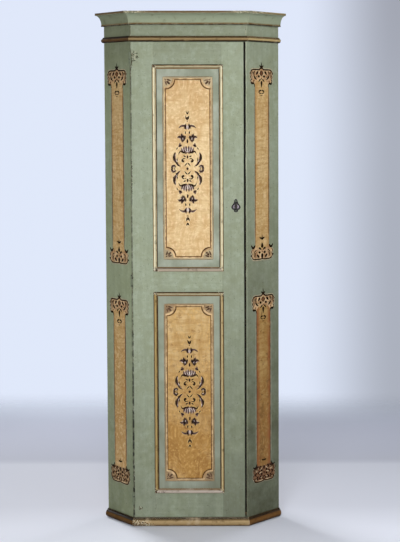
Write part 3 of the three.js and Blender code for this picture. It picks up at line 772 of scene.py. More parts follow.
@dataclass(frozen=True)
class OchreGraining:
    """Ochre glaze dragged and dabbed to look like figured wood."""

    light: Colour = (222, 194, 142)
    middle: Colour = (204, 171, 115)
    deep: Colour = (176, 134, 74)
    burnt: Colour = (132, 90, 42)
    glint: Colour = (236, 212, 164)
    rim: Colour = (176, 124, 68)
    rimmed: float = 0.0
    fade_top: float = 1.3
    rippled: float = 0.62
    lit: float = 0.55
    topped: float = 0.0

    def material(self, name: str, depth: float, fade: float) -> Material:
        """Makes the glaze.

        Args:
            name: the material's name.
            depth: how much of the darker glaze was used, 0 to 1.
            fade: how much more of it lies towards the floor, 0 to 1, as deeper glaze and painted
                shade.

        Returns:
            The material.
        """
        coat = Coat(name)
        warp = coat.node("TexNoise", {"Vector": coat.spot, "Scale": 7.0, "Detail": 2.0})
        bent = coat.vector("ADD", coat.spot, coat.vector("MULTIPLY", warp.outputs["Color"],
                                                         (0.05, 0.05, 0.16)))
        figure = coat.noise(coat.vector("MULTIPLY", bent, (26.0, 26.0, 7.0)), 1.0, 5.0, 0.62, 1.1)
        level = coat.vector("ADD", coat.spot, coat.vector("MULTIPLY", warp.outputs["Color"],
                                                          (0.01, 0.01, 0.05)))
        ripples = coat.noise(coat.vector("MULTIPLY", level, (12.0, 12.0, 95.0)), 1.0, 3.0, 0.55,
                             0.1)
        streaks = coat.noise(coat.vector("MULTIPLY", bent, (150.0, 150.0, 5.0)), 1.0, 4.0)
        coat.colour = coat.blend(coat.ramp(figure, 0.36, 0.62), self.light, self.middle)
        coat.lay(coat.ramp(ripples, 0.46, 0.64, 0.0, self.rippled), self.deep)
        coat.lay(coat.ramp(streaks, 0.52, 0.72, 0.0, 0.4), self.deep)
        height = coat.axes(coat.spot)[2]
        # Darker towards the floor, deeper glaze and painted shade, and towards the top, painted
        # shade.
        falling = coat.ramp(height, self.fade_top, 0.1, 0.0, fade)
        rising = coat.ramp(height, 1.45, 1.8, 0.0, self.topped)
        patchy = coat.ramp(coat.noise(coat.spot, 6.0, 5.0, 0.66), 0.3, 0.66, 0.5, 1.3)
        laid = coat.plus(coat.plus(falling, rising), depth)
        coat.lay(coat.times(laid, patchy), self.deep)
        # Burnt glaze where it darkens towards the floor: glaze and painted shade.
        shade_wash = coat.times(falling, coat.ramp(figure, 0.5, 0.7, 0.1, 0.6))
        coat.lay(shade_wash, self.burnt)
        lights = coat.noise(coat.vector("MULTIPLY", bent, (100.0, 100.0, 84.0)), 1.0, 4.0)
        coat.lay(coat.ramp(lights, 0.45, 0.72, 0.0, self.lit), self.glint)
        fine = coat.noise(coat.vector("MULTIPLY", level, (60.0, 60.0, 240.0)), 1.0, 3.0, 0.6)
        coat.lay(coat.ramp(fine, 0.5, 0.66, 0.0, self.rippled * 0.7), self.deep)
        dabs = coat.noise(coat.vector("MULTIPLY", level, (44.0, 44.0, 60.0)), 1.0, 3.0, 0.6)
        coat.lay(coat.ramp(dabs, 0.56, 0.7, 0.0, fade * 0.5), self.burnt)
        if self.rimmed > 0.0:
            share = coat.axes(coat.node("TexCoord").outputs["Generated"])[0]
            away = coat.math("ABSOLUTE", coat.minus(share, 0.5))
            patches = coat.noise(coat.spot, 22.0, 4.0, 0.6)
            rim = coat.times(coat.ramp(away, 0.2, 0.46), coat.ramp(patches, 0.34, 0.62, 0.35))
            coat.lay(coat.times(rim, self.rimmed), self.rim)
        return coat.finish(coat.plus(streaks, ripples), 0.0002,
                           Roughness=coat.ramp(figure, 0.35, 0.7, 0.46, 0.6))


@dataclass(frozen=True)
class Line:
    """Thin brush drawing in one colour, worn through in places to what lies below."""

    colour: Colour
    shade: Colour
    below: Colour
    worn: float = 0.3

    def material(self, name: str) -> Material:
        """Makes the paint of a line or an ornament.

        Args:
            name: the material's name.

        Returns:
            The material.
        """
        coat = Coat(name, gloss=0.06)
        tone = coat.noise(coat.spot, 60.0, 4.0)
        coat.colour = coat.blend(coat.ramp(tone, 0.36, 0.64), self.shade, self.colour)
        rubbed = coat.noise(coat.spot, 130.0, 4.0, 0.7)
        need = 0.74 - 0.3 * self.worn
        coat.lay(coat.ramp(rubbed, need, need + 0.06, 0.0, 0.8), self.below)
        return coat.finish(tone, 0.0002, Roughness=coat.ramp(tone, 0.3, 0.7, 0.64, 0.78))


@dataclass(frozen=True)
class Gilding:
    """Dulled gilding between dark lines, on a moulding of known section."""

    stops: tuple[tuple[float, Colour], ...]
    rubbed: Colour = (176, 150, 122)
    dirt: Colour = (66, 48, 30)
    chalk: Colour = (214, 206, 178)
    chipped: Place = (0.03, 0.03, 0.03)
    wear: float = 0.5

    def material(self, name: str, axis: int, start: float, end: float,
                 corners: Sequence[Vector] = ()) -> Material:
        """Makes the gilding for one moulding.

        Args:
            name: the material's name.
            axis: the coordinate that crosses the moulding: 0 for x and 2 for z.
            start: that coordinate at the first stop, in metres.
            end: that coordinate at the last stop.
            corners: places where it is chipped.

        Returns:
            The material.
        """
        coat = Coat(name, gloss=0.1)
        span = abs(end - start)
        wobble = coat.times(coat.minus(coat.noise(coat.spot, 24.0, 4.0), 0.5), 0.0028)
        across = coat.plus(coat.axes(coat.spot)[axis], wobble)
        share = coat.math("DIVIDE", coat.minus(across, start), end - start)
        coat.colour = coat.bands(share, self.stops)
        clouds = coat.noise(coat.spot, 16.0, 5.0, 0.65)
        coat.lay(coat.ramp(clouds, 0.52, 0.74, 0.0, 0.75 * self.wear), self.rubbed)
        soot = coat.noise(coat.spot, 48.0, 5.0, 0.65)
        coat.lay(coat.ramp(soot, 0.54, 0.72, 0.0, 0.6), self.dirt)
        edge = coat.place(coat.effects.worn_edge, Width=span * 0.08, Amount=self.wear)["Mask"]
        coat.lay(coat.times(edge, 0.7), self.rubbed)
        for corner in corners:
            chips = coat.place(coat.effects.near, Middle=tuple(corner), Reach=self.chipped,
                               Amount=0.9)
            coat.lay(chips["Pale"], self.chalk)
            coat.lay(chips["Dark"], self.dirt)
        return coat.finish(coat.plus(clouds, soot), 0.0005, Metallic=0.06,
                           Roughness=coat.ramp(soot, 0.35, 0.7, 0.5, 0.72))


@dataclass(frozen=True)
class Iron:
    """Forged iron: brown-black, pitted and rusty, with what is left of the paint on it."""

    dark: Colour = (52, 46, 42)
    rust: Colour = (108, 66, 40)
    bright: Colour = (120, 114, 106)
    overpaint: Colour = (112, 120, 98)

    def material(self, name: str, painted: float) -> Material:
        """Makes the iron.

        Args:
            name: the material's name.
            painted: how much of the green paint still covers it, 0 to 1.

        Returns:
            The material.
        """
        coat = Coat(name)
        pits = coat.noise(coat.spot, 320.0, 5.0, 0.7)
        blooms = coat.noise(coat.spot, 70.0, 5.0, 0.65)
        coat.colour = coat.blend(coat.ramp(blooms, 0.48, 0.66), self.dark, self.rust)
        edge = coat.place(coat.effects.worn_edge, Width=0.0012, Amount=0.5)["Mask"]
        coat.lay(coat.times(edge, 0.6), self.bright)
        cover = coat.noise(coat.spot, 95.0, 4.0, 0.6)
        need = 0.72 - 0.44 * painted
        coated = coat.ramp(cover, need, need + 0.04, 0.0, 1.0 if painted else 0.0)
        coat.lay(coated, self.overpaint)
        bare = coat.minus(1.0, coated)
        return coat.finish(coat.plus(pits, coated), 0.0003,
                           Roughness=coat.ramp(pits, 0.3, 0.7, 0.42, 0.72),
                           Metallic=coat.times(bare, coat.ramp(blooms, 0.62, 0.46, 0.15, 0.75)))


# Drawing on flat faces.


@dataclass(frozen=True)
class Face:
    """An upright flat face that is painted on: where its drawing starts, and its way out."""

    origin: Vector
    out: Vector

    def at(self, right: float, up: float, lift: float) -> Vector:
        """Returns the place of a drawn point, all in millimetres from the origin."""
        across = UP.cross(self.out)
        return self.origin + (across * right + UP * up + self.out * lift) * MM


def curve(points: Sequence[Point], steps: int = 5) -> list[Point]:
    """Draws a smooth line through points.

    Args:
        points: the points, first to last.
        steps: pieces between two points.

    Returns:
        The points of the smooth line.
    """
    if len(points) < 3:
        return list(points)
    padded = [points[0], *points, points[-1]]
    drawn: list[Point] = []
    for i in range(len(points) - 1):
        p0, p1, p2, p3 = (Vector(padded[i + j]) for j in range(4))
        for step in range(steps):
            t = step / steps
            spot = 0.5 * (2 * p1 + (p2 - p0) * t + (2 * p0 - 5 * p1 + 4 * p2 - p3) * t ** 2
                          + (3 * p1 - p0 - 3 * p2 + p3) * t ** 3)
            drawn.append((spot.x, spot.y))
    drawn.append(points[-1])
    return drawn


class Taper(Enum):
    """How wide a brush stroke is along its length, as a share of its full width."""

    LEAF = "leaf"
    COMMA = "comma"
    LINE = "line"
    SWELL = "swell"

    def width(self, t: float) -> float:
        """Returns a stroke's share of its full width at one place.

        Args:
            t: the place on the stroke, 0 at its start and 1 at its end.
        """
        if self is Taper.LEAF:
            return max(0.06, math.sin(math.pi * t ** 0.8) ** 0.85)
        if self is Taper.COMMA:
            return max(0.08, (1 - t) ** 0.8 * min(1.0, 0.6 + 4 * t))
        if self is Taper.SWELL:
            return 0.35 + 0.65 * math.sin(math.pi * t)
        return min(1.0, 0.3 + 8 * t, 0.3 + 8 * (1 - t))


@dataclass(frozen=True)
class Stroke:
    """One stroke of the brush."""

    points: tuple[Point, ...]
    width: float
    taper: Taper = Taper.LEAF

    def mirrored(self, across: float, up: float) -> Stroke:
        """Returns the stroke with its sides or its ends swapped by factors of -1."""
        return Stroke(tuple((u * across, v * up) for u, v in self.points), self.width, self.taper)


def stroke_rows(*rows: tuple[float | Taper, ...]) -> tuple[Stroke, ...]:
    """Makes strokes from rows of numbers.

    Args:
        rows: a width, then both numbers of each point, then the taper unless it is a leaf.

    Returns:
        The strokes.
    """
    made: list[Stroke] = []
    for width, *rest in rows:
        taper = rest.pop() if isinstance(rest[-1], Taper) else Taper.LEAF
        made.append(Stroke(tuple(zip(rest[::2], rest[1::2])), width, taper))
    return tuple(made)


class Film:
    """A layer of paint on a face: thin closed solids that make up one mesh."""

    SUNK = 0.05
    SLOT = "panel_paint"
    STRAIGHT_STEPS = 6
    ROUND_STEPS = 12

    def __init__(self, face: Face, middle: Point, lift: float, seed: int,
                 waver: float = 0.35) -> None:
        """Starts an empty layer.

        Args:
            face: the face that it lies on.
            middle: where the drawing's own zero is on the face, in millimetres.
            lift: how far its surface stands off the face, in millimetres.
            seed: makes the hand's waver the same on each run.
            waver: how far the hand strays, in millimetres.
        """
        self.face, self.middle, self.lift, self.waver = face, middle, lift, waver
        self.vertices: list[Vector] = []
        self.faces: list[tuple[int, ...]] = []
        self.hand = random.Random(seed)

    def _ring(self, outline: Sequence[Point], lift: float) -> int:
        """Adds the points of an outline and returns the number of the first.

        Args:
            outline: places in the drawing.
            lift: how far off the face they lie, in millimetres.
        """
        first = len(self.vertices)
        for u, v in outline:
            self.vertices.append(self.face.at(self.middle[0] + u, self.middle[1] + v, lift))
        return first

    def _strayed(self, outline: Iterable[Point]) -> list[Point]:
        """Moves points by the small amounts that a steady hand strays."""
        return [(u + self.hand.uniform(-1, 1) * self.waver,
                 v + self.hand.uniform(-1, 1) * self.waver) for u, v in outline]

    def fill(self, outline: Sequence[Point], steady: bool = False) -> None:
        """Adds one closed shape.

        Args:
            outline: its corners in order.
            steady: leaves out the waver.
        """
        drawn = list(outline) if steady else self._strayed(outline)
        area = sum(a[0] * b[1] - b[0] * a[1] for a, b in zip(drawn, drawn[1:] + drawn[:1]))
        if area < 0:
            drawn.reverse()
        top, base = self._ring(drawn, self.lift), self._ring(drawn, -self.SUNK)
        count = len(drawn)
        for triangle in tessellate_polygon([[Vector((u, v, 0)) for u, v in drawn]]):
            a, b, c = (drawn[i] for i in triangle)
            turn = (b[0] - a[0]) * (c[1] - a[1]) - (b[1] - a[1]) * (c[0] - a[0])
            ordered = triangle if turn > 0 else triangle[::-1]
            self.faces.append(tuple(top + i for i in ordered))
            self.faces.append(tuple(base + i for i in ordered[::-1]))
        for i in range(count):
            j = (i + 1) % count
            self.faces.append((base + i, base + j, top + j, top + i))

    def stroke(self, stroke: Stroke) -> None:
        """Adds one stroke of the brush.

        Args:
            stroke: its shape.
        """
        spine = curve(self._strayed(stroke.points))
        if len(spine) == 2:
            (a, b), (c, d) = spine
            steps = self.STRAIGHT_STEPS
            spine = [(a + (c - a) * i / steps, b + (d - b) * i / steps)
                     for i in range(steps + 1)]
        left: list[Point] = []
        right: list[Point] = []
        for i, (u, v) in enumerate(spine):
            before, after = spine[max(i - 1, 0)], spine[min(i + 1, len(spine) - 1)]
            along = Vector((after[0] - before[0], after[1] - before[1])).normalized()
            half = stroke.width / 2 * stroke.taper.width(i / (len(spine) - 1))
            left.append((u - along.y * half, v + along.x * half))
            right.append((u + along.y * half, v - along.x * half))
        rows = [self._ring(side, lift) for lift in (self.lift, -self.SUNK)
                for side in (left, right)]
        top_left, top_right, low_left, low_right = rows
        for i in range(len(spine) - 1):
            j = i + 1
            self.faces += [(top_right + i, top_right + j, top_left + j, top_left + i),
                           (low_left + i, low_left + j, low_right + j, low_right + i),
                           (low_right + i, low_right + j, top_right + j, top_right + i),
                           (top_left + i, top_left + j, low_left + j, low_left + i)]
        end = len(spine) - 1
        self.faces.append((low_left, low_right, top_right, top_left))
        self.faces.append((top_left + end, top_right + end, low_right + end, low_left + end))

    def strokes(self, several: Iterable[Stroke]) -> None:
        """Adds strokes one after the other."""
        for stroke in several:
            self.stroke(stroke)

    def dot(self, u: float, v: float, wide: float, high: float | None = None) -> None:
        """Adds a round or oval dab of a width and height.

        Args:
            u, v: its middle.
            wide, high: its width, and its height if that differs.
        """
        tall = wide if high is None else high
        turns = [math.tau * i / self.ROUND_STEPS for i in range(self.ROUND_STEPS)]
        self.fill([(u + math.cos(a) * wide / 2, v + math.sin(a) * tall / 2) for a in turns])

    def finish(self, name: str, material: Material, body: str) -> None:
        """Makes the piece.

        Args:
            name: the piece's name.
            material: its paint.
            body: the body that it moves with.
        """
        mesh = bpy.data.meshes.new(name)
        mesh.from_pydata([tuple(v) for v in self.vertices], [], self.faces)
        mesh.update()
        mesh.materials.append(material)
        piece = bpy.data.objects.new(name, mesh)
        bpy.context.scene.collection.objects.link(piece)
        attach(piece, body)
        log.info("%s: %d faces, rides on %s", name, len(self.faces), body)


# The panels of the door.


def four_ways(strokes: Iterable[Stroke]) -> list[Stroke]:
    """Repeats strokes of one quarter of an ornament in all four."""
    return [stroke.mirrored(across, up) for stroke in strokes
            for across in (1, -1) for up in (1, -1)]


def both_sides(strokes: Iterable[Stroke]) -> list[Stroke]:
    """Repeats strokes on the other side of the upright middle line."""
    return [stroke.mirrored(across, 1) for stroke in strokes for across in (1, -1)]


@dataclass(frozen=True)
class Arabesque:
    """The upright ornament in the middle of a panel, drawn as one quarter."""

    bodies: tuple[Stroke, ...] = stroke_rows(
        (11, 18, 104, 19, 118, 23, 135), (11.5, 12, 117, 24, 122, 39, 120),
        (5, 7, 128, 13, 115, 20, 101), (8, 4, 158, 12, 165, 24, 164, 34, 156),
        (7.4, 4.6, 150, 7, 162, 6.6, 173), (8.4, 21, 92, 28, 88, 35, 84),
        (6, 28, 99, 30, 91, 34, 84), (9, 2.6, 60, 5, 74, 5, 89), (8.4, 8, 60, 13, 73, 14, 87),
        (8, 12, 60, 19, 69, 24, 81), (8.4, 46, 62, 49, 46, 45, 26, 27, 9),
        (4.6, 44, 7, 53, 12, 61, 7, 62, 0, Taper.SWELL))
    lines: tuple[Stroke, ...] = stroke_rows(
        (4, 0.4, 209, 3, 215, 5, 221), (5.8, 0.5, 187, 4, 195, 7.4, 204),
        (3.8, 6, 163, 16, 165, 27, 161, 34.5, 155, Taper.COMMA),
        (4.4, 6.5, 152, 7.8, 163, 5, 174), (5.6, 7.4, 133, 8, 145),
        (4.6, 8, 127, 13, 115, 20, 101), (4, 22, 118, 30, 123, 40, 120),
        (3.4, 21, 103, 22, 114, 26, 118), (3.6, 18, 122, 21, 128, 24, 136),
        (5.4, 23, 92, 29, 88, 34, 85), (4.4, 37, 82, 40, 78, 42, 73),
        (3, 2.6, 60, 4.4, 74, 4.6, 88), (2.8, 8, 61, 12.5, 72, 13.5, 85),
        (3, 14, 61, 20, 69, 24, 80), (6.4, 2, 58, 17, 63, 28, 66, 35, 54),
        (6, 47, 64, 51.5, 46, 48, 32, 42, 20), (4.6, 43, 28, 38, 15, 26, 8),
        (3.4, 44, 26, 39, 33, 38.5, 43), (8.4, 18.6, 26, 20, 34, 13, 39.5, 4, 36, Taper.COMMA),
        (5.6, 6.5, 45, 16, 50.5), (5, 1, 22, 6, 17, 12.5, 8.5),
        (3.2, 45, 7, 52, 11.5, 59, 8, 61.6, 0, Taper.SWELL), (4, 47, 2, 52, 5))
    glints: tuple[Stroke, ...] = stroke_rows(
        (3, 16, 112, 18, 120), (3, 25, 114, 31, 118), (3, 2, 64, 9, 72, 9, 88),
        (2.8, 14, 66, 18, 75, 19, 84), (2.6, 47, 58, 46.5, 46), (2.6, 44, 36, 40, 24),
        (3, 50, 7, 55, 7))
    balls: tuple[Place, ...] = ((16.4, 28.4, 9.0), (57.0, 1.5, 4.0))
    drops: tuple[Place, ...] = ((183.0, 5.0, 5.0), (106.0, 6.8, 15.5), (45.0, 7.6, 13.0))
    lights: tuple[Place, ...] = ((160.0, 9.0, 15.0), (72.0, 7.0, 17.0))
    boss: Point = (9.4, 10.0)
    halo: float = 6.5

    def draw(self, face: Face, middle: Point, name: str, under: str, paints: Paints,
             seed: int) -> None:
        """Paints the ornament on a panel.

        Args:
            face: the raised field.
            middle: its middle on the face.
            name: the start of the pieces' names.
            under: the name of the light paint that was laid first.
            paints: the finishes.
            seed: for the hand's waver.
        """
        ground = Film(face, middle, lift=0.14, seed=seed)
        ground.strokes(Stroke(stroke.points, stroke.width + self.halo, stroke.taper)
                       for stroke in four_ways((*self.bodies, *self.lines)))
        ground.finish(f"{name}_ornament_ground", paints.line[under], "door")
        leaves = Film(face, middle, lift=0.22, seed=seed + 1)
        leaves.strokes(four_ways(self.bodies))
        leaves.finish(f"{name}_ornament_leaves", paints.line["plum_leaves"], "door")
        drawing = Film(face, middle, lift=0.3, seed=seed + 2)
        drawing.strokes(four_ways(self.lines))
        self._both_ends(drawing, self.drops)
        for u, v, wide in self.balls:
            for across, up in ((1, 1), (1, -1), (-1, 1), (-1, -1)):
                drawing.dot(u * across, v * up, wide)
        drawing.dot(0, 0, *self.boss)
        drawing.finish(f"{name}_ornament", paints.line["plum_black_drawing"], "door")
        glints = Film(face, middle, lift=0.26, seed=seed + 3)
        self._both_ends(glints, self.lights)
        glints.lift = 0.34
        glints.strokes(four_ways(self.glints))
        glints.finish(f"{name}_ornament_lights", paints.line["pale_lilac_strokes"], "door")

    @staticmethod
    def _both_ends(film: Film, dabs: Iterable[Place]) -> None:
        """Adds dabs on the upright middle line, above and below the centre.

        Args:
            film: the layer.
            dabs: the place, width and height of each.
        """
        for height, wide, tall in dabs:
            for up in (1, -1):
                film.dot(0, height * up, wide, tall)


@dataclass
class PaintedPanel:
    """The painted field of one door panel: glaze, lining, corner leaves and ornament."""

    name: str
    node: str
    ornament_middle: Point
    ornament_ground: str
    seed: int
    side_margin: float = 43.0
    end_margin: float = 50.0
    line_inset: float = 9.5
    line_width: float = 3.4
    band_width: float = 4.0
    notch_radius: float = 35.0
    notch_band_radius: float = 33.0
    notch_steps: int = 10
    glaze_overlap: float = 0.6
    line_overlap: float = 0.8
    border_width: float = 2.2
    border_steps: int = 12
    leaf_start: float = 7.0
    leaf_bend: float = 1.2
    leaves: tuple[tuple[float, float, float, float], ...] = (
        (16, 8, 27, 6.2), (45, 12, 31, 8.6), (74, 8, 27, 6.2), (45, 1, 9, 4.4))
    ornament: Arabesque = Arabesque()

    def __post_init__(self) -> None:
        """Finds the edges of the raised field inside the panel's own box."""
        low, high = (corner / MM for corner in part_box(self.node))
        self.field_left = low.x + self.side_margin
        self.field_right = high.x - self.side_margin
        self.field_bottom = low.z + self.end_margin
        self.field_top = high.z - self.end_margin

    def face(self) -> Face:
        """Returns the raised field of the panel's node."""
        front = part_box(self.node)[0].y
        return Face(Vector((0, front, 0)), FRONT)

    def notched(self, inset: float, radius: float) -> list[Point]:
        """Returns a rectangle with hollow quarter-round corners.

        Args:
            inset: its distance inside the edge of the field.
            radius: of the corners.

        Returns:
            Its outline, anticlockwise.
        """
        left, right = self.field_left + inset, self.field_right - inset
        low, high = self.field_bottom + inset, self.field_top - inset
        outline: list[Point] = []
        for (u, v), start in (((right, low), 180), ((right, high), -90), ((left, high), 0),
                              ((left, low), 90)):
            for step in range(self.notch_steps + 1):
                angle = math.radians(start - 90 * step / self.notch_steps)
                outline.append((u + radius * math.cos(angle), v + radius * math.sin(angle)))
        return outline

    def corner_leaves(self, film: Film) -> None:
        """Paints leaves that spread from each corner of the field.

        Args:
            film: the layer.
        """
        for u, across in ((self.field_left, 1), (self.field_right, -1)):
            for v, up in ((self.field_bottom, 1), (self.field_top, -1)):
                for turn, root, reach, wide in self.leaves:
                    angle = math.radians(turn)
                    way = (across * math.cos(angle), up * math.sin(angle))
                    stem, tip = ((u + across * self.leaf_start + way[0] * out,
                                  v + up * self.leaf_start + way[1] * out)
                                 for out in (root, reach))
                    bend = ((stem[0] + tip[0]) / 2 + across * self.leaf_bend,
                            (stem[1] + tip[1]) / 2 + up * self.leaf_bend)
                    film.stroke(Stroke((stem, bend, tip), wide))

    def frame(self, film: Film, outside: list[Point], inside: list[Point]) -> None:
        """Fills the space between two outlines with the same number of points.

        Args:
            film: the layer.
            outside, inside: the two outlines.
        """
        count = len(inside)
        for i in range(count):
            j = (i + 1) % count
            film.fill([outside[i], outside[j], inside[j], inside[i]], steady=True)

    def build(self, paints: Paints) -> None:
        """Paints the panel.

        Args:
            paints: the finishes.
        """
        face = self.face()
        inner, outer = self.line_inset + self.line_width, self.line_inset
        line = self.notched(outer, self.notch_radius)
        glaze = Film(face, (0, 0), lift=0.1, seed=self.seed, waver=0.2)
        glaze.fill(self.notched(inner - self.glaze_overlap, self.notch_radius))
        glaze.finish(f"{self.name}_glaze", paints.glaze[self.node], "door")
        # A brown line round the raised field, which also stands in for the shadow at its edge.
        edge = Film(face, (0, 0), lift=0.12, seed=self.seed + 4, waver=0.3)
        corners = [(self.field_left, self.field_bottom), (self.field_right, self.field_bottom),
                   (self.field_right, self.field_top), (self.field_left, self.field_top)]
        for a, b in zip(corners, corners[1:] + corners[:1]):
            points = tuple((a[0] + (b[0] - a[0]) * i / self.border_steps,
                            a[1] + (b[1] - a[1]) * i / self.border_steps)
                           for i in range(self.border_steps + 1))
            edge.stroke(Stroke(points, self.border_width, Taper.LINE))
        edge.finish(f"{self.name}_border_line", paints.line["border_line"], "door")
        band = Film(face, (0, 0), lift=0.14, seed=self.seed + 1, waver=0.2)
        self.frame(band, self.notched(outer - self.band_width, self.notch_band_radius), line)
        band.finish(f"{self.name}_cream_band", paints.line["cream_band"], "door")
        lining = Film(face, (0, 0), lift=0.18, seed=self.seed + 1, waver=0.2)
        self.frame(lining, line, self.notched(inner, self.notch_radius + self.line_overlap))
        lining.finish(f"{self.name}_lining", paints.line["brown_lining"], "door")
        leaves = Film(face, (0, 0), lift=0.2, seed=self.seed + 2)
        self.corner_leaves(leaves)
        leaves.finish(f"{self.name}_corner_leaves", paints.line["brown_corner_leaves"], "door")
        self.ornament.draw(face, self.ornament_middle, self.name, self.ornament_ground, paints,
                           self.seed + 3)


# The strips on the canted boards.


@dataclass(frozen=True)
class Ornament:
    """A head or foot of a strip.

    Attributes:
        half_ground: half of its ground's outline.
        half_drawing: dark strokes that both sides have, the outlines first.
        middle_drawing: dark strokes on the middle line.
        half_shading: brown strokes below the drawing.
        half_dabs: dark dabs, each a place and a width.
        half_lights: pale strokes between the dark ones.
        outlines: how many strokes are outlines.
        dab_height: of the dabs, as a share of their width.
    """

    half_ground: tuple[Point, ...]
    half_drawing: tuple[Stroke, ...]
    middle_drawing: tuple[Stroke, ...]
    half_shading: tuple[Stroke, ...]
    half_dabs: tuple[Place, ...] = ()
    half_lights: tuple[Stroke, ...] = ()
    outlines: int = 1
    dab_height: float = 0.8

    def ground(self) -> list[Point]:
        """Returns the whole outline of the ground."""
        other = [(-u, v) for u, v in reversed(self.half_ground)]
        return [*self.half_ground, *other]

    def draw(self, film: Film) -> None:
        """Draws the dark strokes on a film.

        Args:
            film: the layer.
        """
        film.strokes((*both_sides(self.half_drawing), *self.middle_drawing))
        for u, v, wide in self.half_dabs:
            for side in (1, -1) if u else (1,):
                film.dot(u * side, v, wide, wide * self.dab_height)

    def edge(self, film: Film, halo: float) -> None:
        """Lays a pale line round the outlines, which come first in the drawing."""
        film.strokes(Stroke(stroke.points, stroke.width + halo, Taper.LINE)
                     for stroke in both_sides(self.half_drawing[:self.outlines]))


HEAD = Ornament(
    half_ground=((0.5, -42), (13, -45), (26, -47), (32, -54), (36, -63), (41, -59), (48, -58),
                 (53, -53), (50, -47), (55, -41), (53, -33), (57, -26), (54, -18), (55, -10),
                 (50, -6), (40, -5), (14, -5), (6, -1), (0.5, 2)),
    outlines=4,
    half_drawing=stroke_rows(
        (5.4, 0.6, 2.5, 7, -1, 13, -5, 40, -5, 50, -7, 55, -13, Taper.LINE),
        (5, 54, -12, 58.5, -19, 54, -27), (4.6, 53, -27, 57.5, -34, 51, -42),
        (4.6, 51, -41, 56, -48, 53, -55), (8.4, 57, -52, 51, -58.5, 42, -58, 36.5, -66),
        (3, 38, -60, 36.6, -72, Taper.LINE), (5, 56, -18, 63, -20),
        (9.2, 16, -12, 22, -17, 29, -25), (7.6, 42, -28, 34, -37, 25, -44),
        (4.6, 36, -10, 43, -18, 42, -30), (3.6, 49, -11, 52, -24),
        (6.4, 4, -41, 10, -46, 16, -53), (3, 0.5, -8, 8.4, -18, 0.5, -30, Taper.SWELL),
        (6.4, 0.5, 2, 6, 7, 10.5, 13), (6.4, 0.5, -85, 9, -86, 14.5, -93, Taper.SWELL),
        (4, 0.5, -96.5, 8, -96, 13.5, -92.5, Taper.SWELL)),
    middle_drawing=stroke_rows(
        (11.5, 0, -2, 0, 8, 0, 24, Taper.COMMA), (9.6, 0, -48, 0, -57, 0, -74),
        (2.8, -6, -104, 0, -105, 6, -104)),
    half_shading=stroke_rows(
        (9, 0, -9, 3.4, -18, 0, -28), (4, 33, -9, 38, -20, 33, -32),
        (4.6, 47, -10, 49, -28, 45, -44), (5, 38, -46, 45, -54)),
    half_dabs=((14, -31, 12.0), (0, -39, 5.4), (27, -33, 5.0)),
    half_lights=stroke_rows(
        (3.2, 8, -8, 14, -18, 8, -27), (3.4, 22, -8, 30, -12, 34, -26),
        (3.2, 22, -30, 30, -40, 22, -44), (3.2, 42, -12, 46, -24, 43, -40), (3, 8, -40, 2, -44),
        (3.2, 48, -36, 52, -46, 44, -56)),
)

UPPER_FOOT = Ornament(
    half_ground=((0.5, -44.5), (12, -43.5), (44, -43), (50, -38), (54, -30), (52, -22),
                 (55, -14), (52, -5), (44, -1), (38, 3), (36, 8), (30, 1), (20, -1),
                 (10, -6), (0.5, -8)),
    outlines=3,
    half_drawing=stroke_rows(
        (4.6, 0.5, -43, 10, -45, 42, -44.5, 51, -39, Taper.LINE),
        (4.4, 50, -41, 55.5, -31, 52, -22), (3.6, 52, -22, 57, -13, 52, -5),
        (9.4, 37, 12, 42, 4, 50, 1, 58, 12, Taper.SWELL), (6.4, 54, -29, 63, -30),
        (7.8, 19, 0, 11, -3, 4, -9), (8, 28, -27, 21, -34, 14, -39),
        (4.4, 29, -8, 39, -14, 43, -26), (4.4, 36, -19, 40, -30, 36, -39),
        (7, 1, 36, 7, 37, 14, 41)),
    middle_drawing=stroke_rows(
        (13, 0, -2, 0, 7, 0, 20), (13, 0, -23, 0, -33, 0, -44),
        (8, 0, 30, 0, 40, 0, 53, Taper.COMMA)),
    half_shading=stroke_rows(
        (4.6, 48, -6, 49, -22, 44, -38), (10.4, 28, -26, 22, -32, 14, -38),
        (3, 30, -14, 36, -24, 30, -38)),
    half_dabs=((13.5, -18.5, 12.0), (0, -16, 4.6)),
    half_lights=stroke_rows(
        (3.2, 6, -20, 8, -30, 7, -40), (3.4, 20, -8, 23, -18, 18, -28),
        (3, 30, -30, 24, -38, 16, -41), (3.2, 48, -8, 50, -20, 46, -36),
        (2.6, 6, -38, 24, -41, 44, -40)),
)

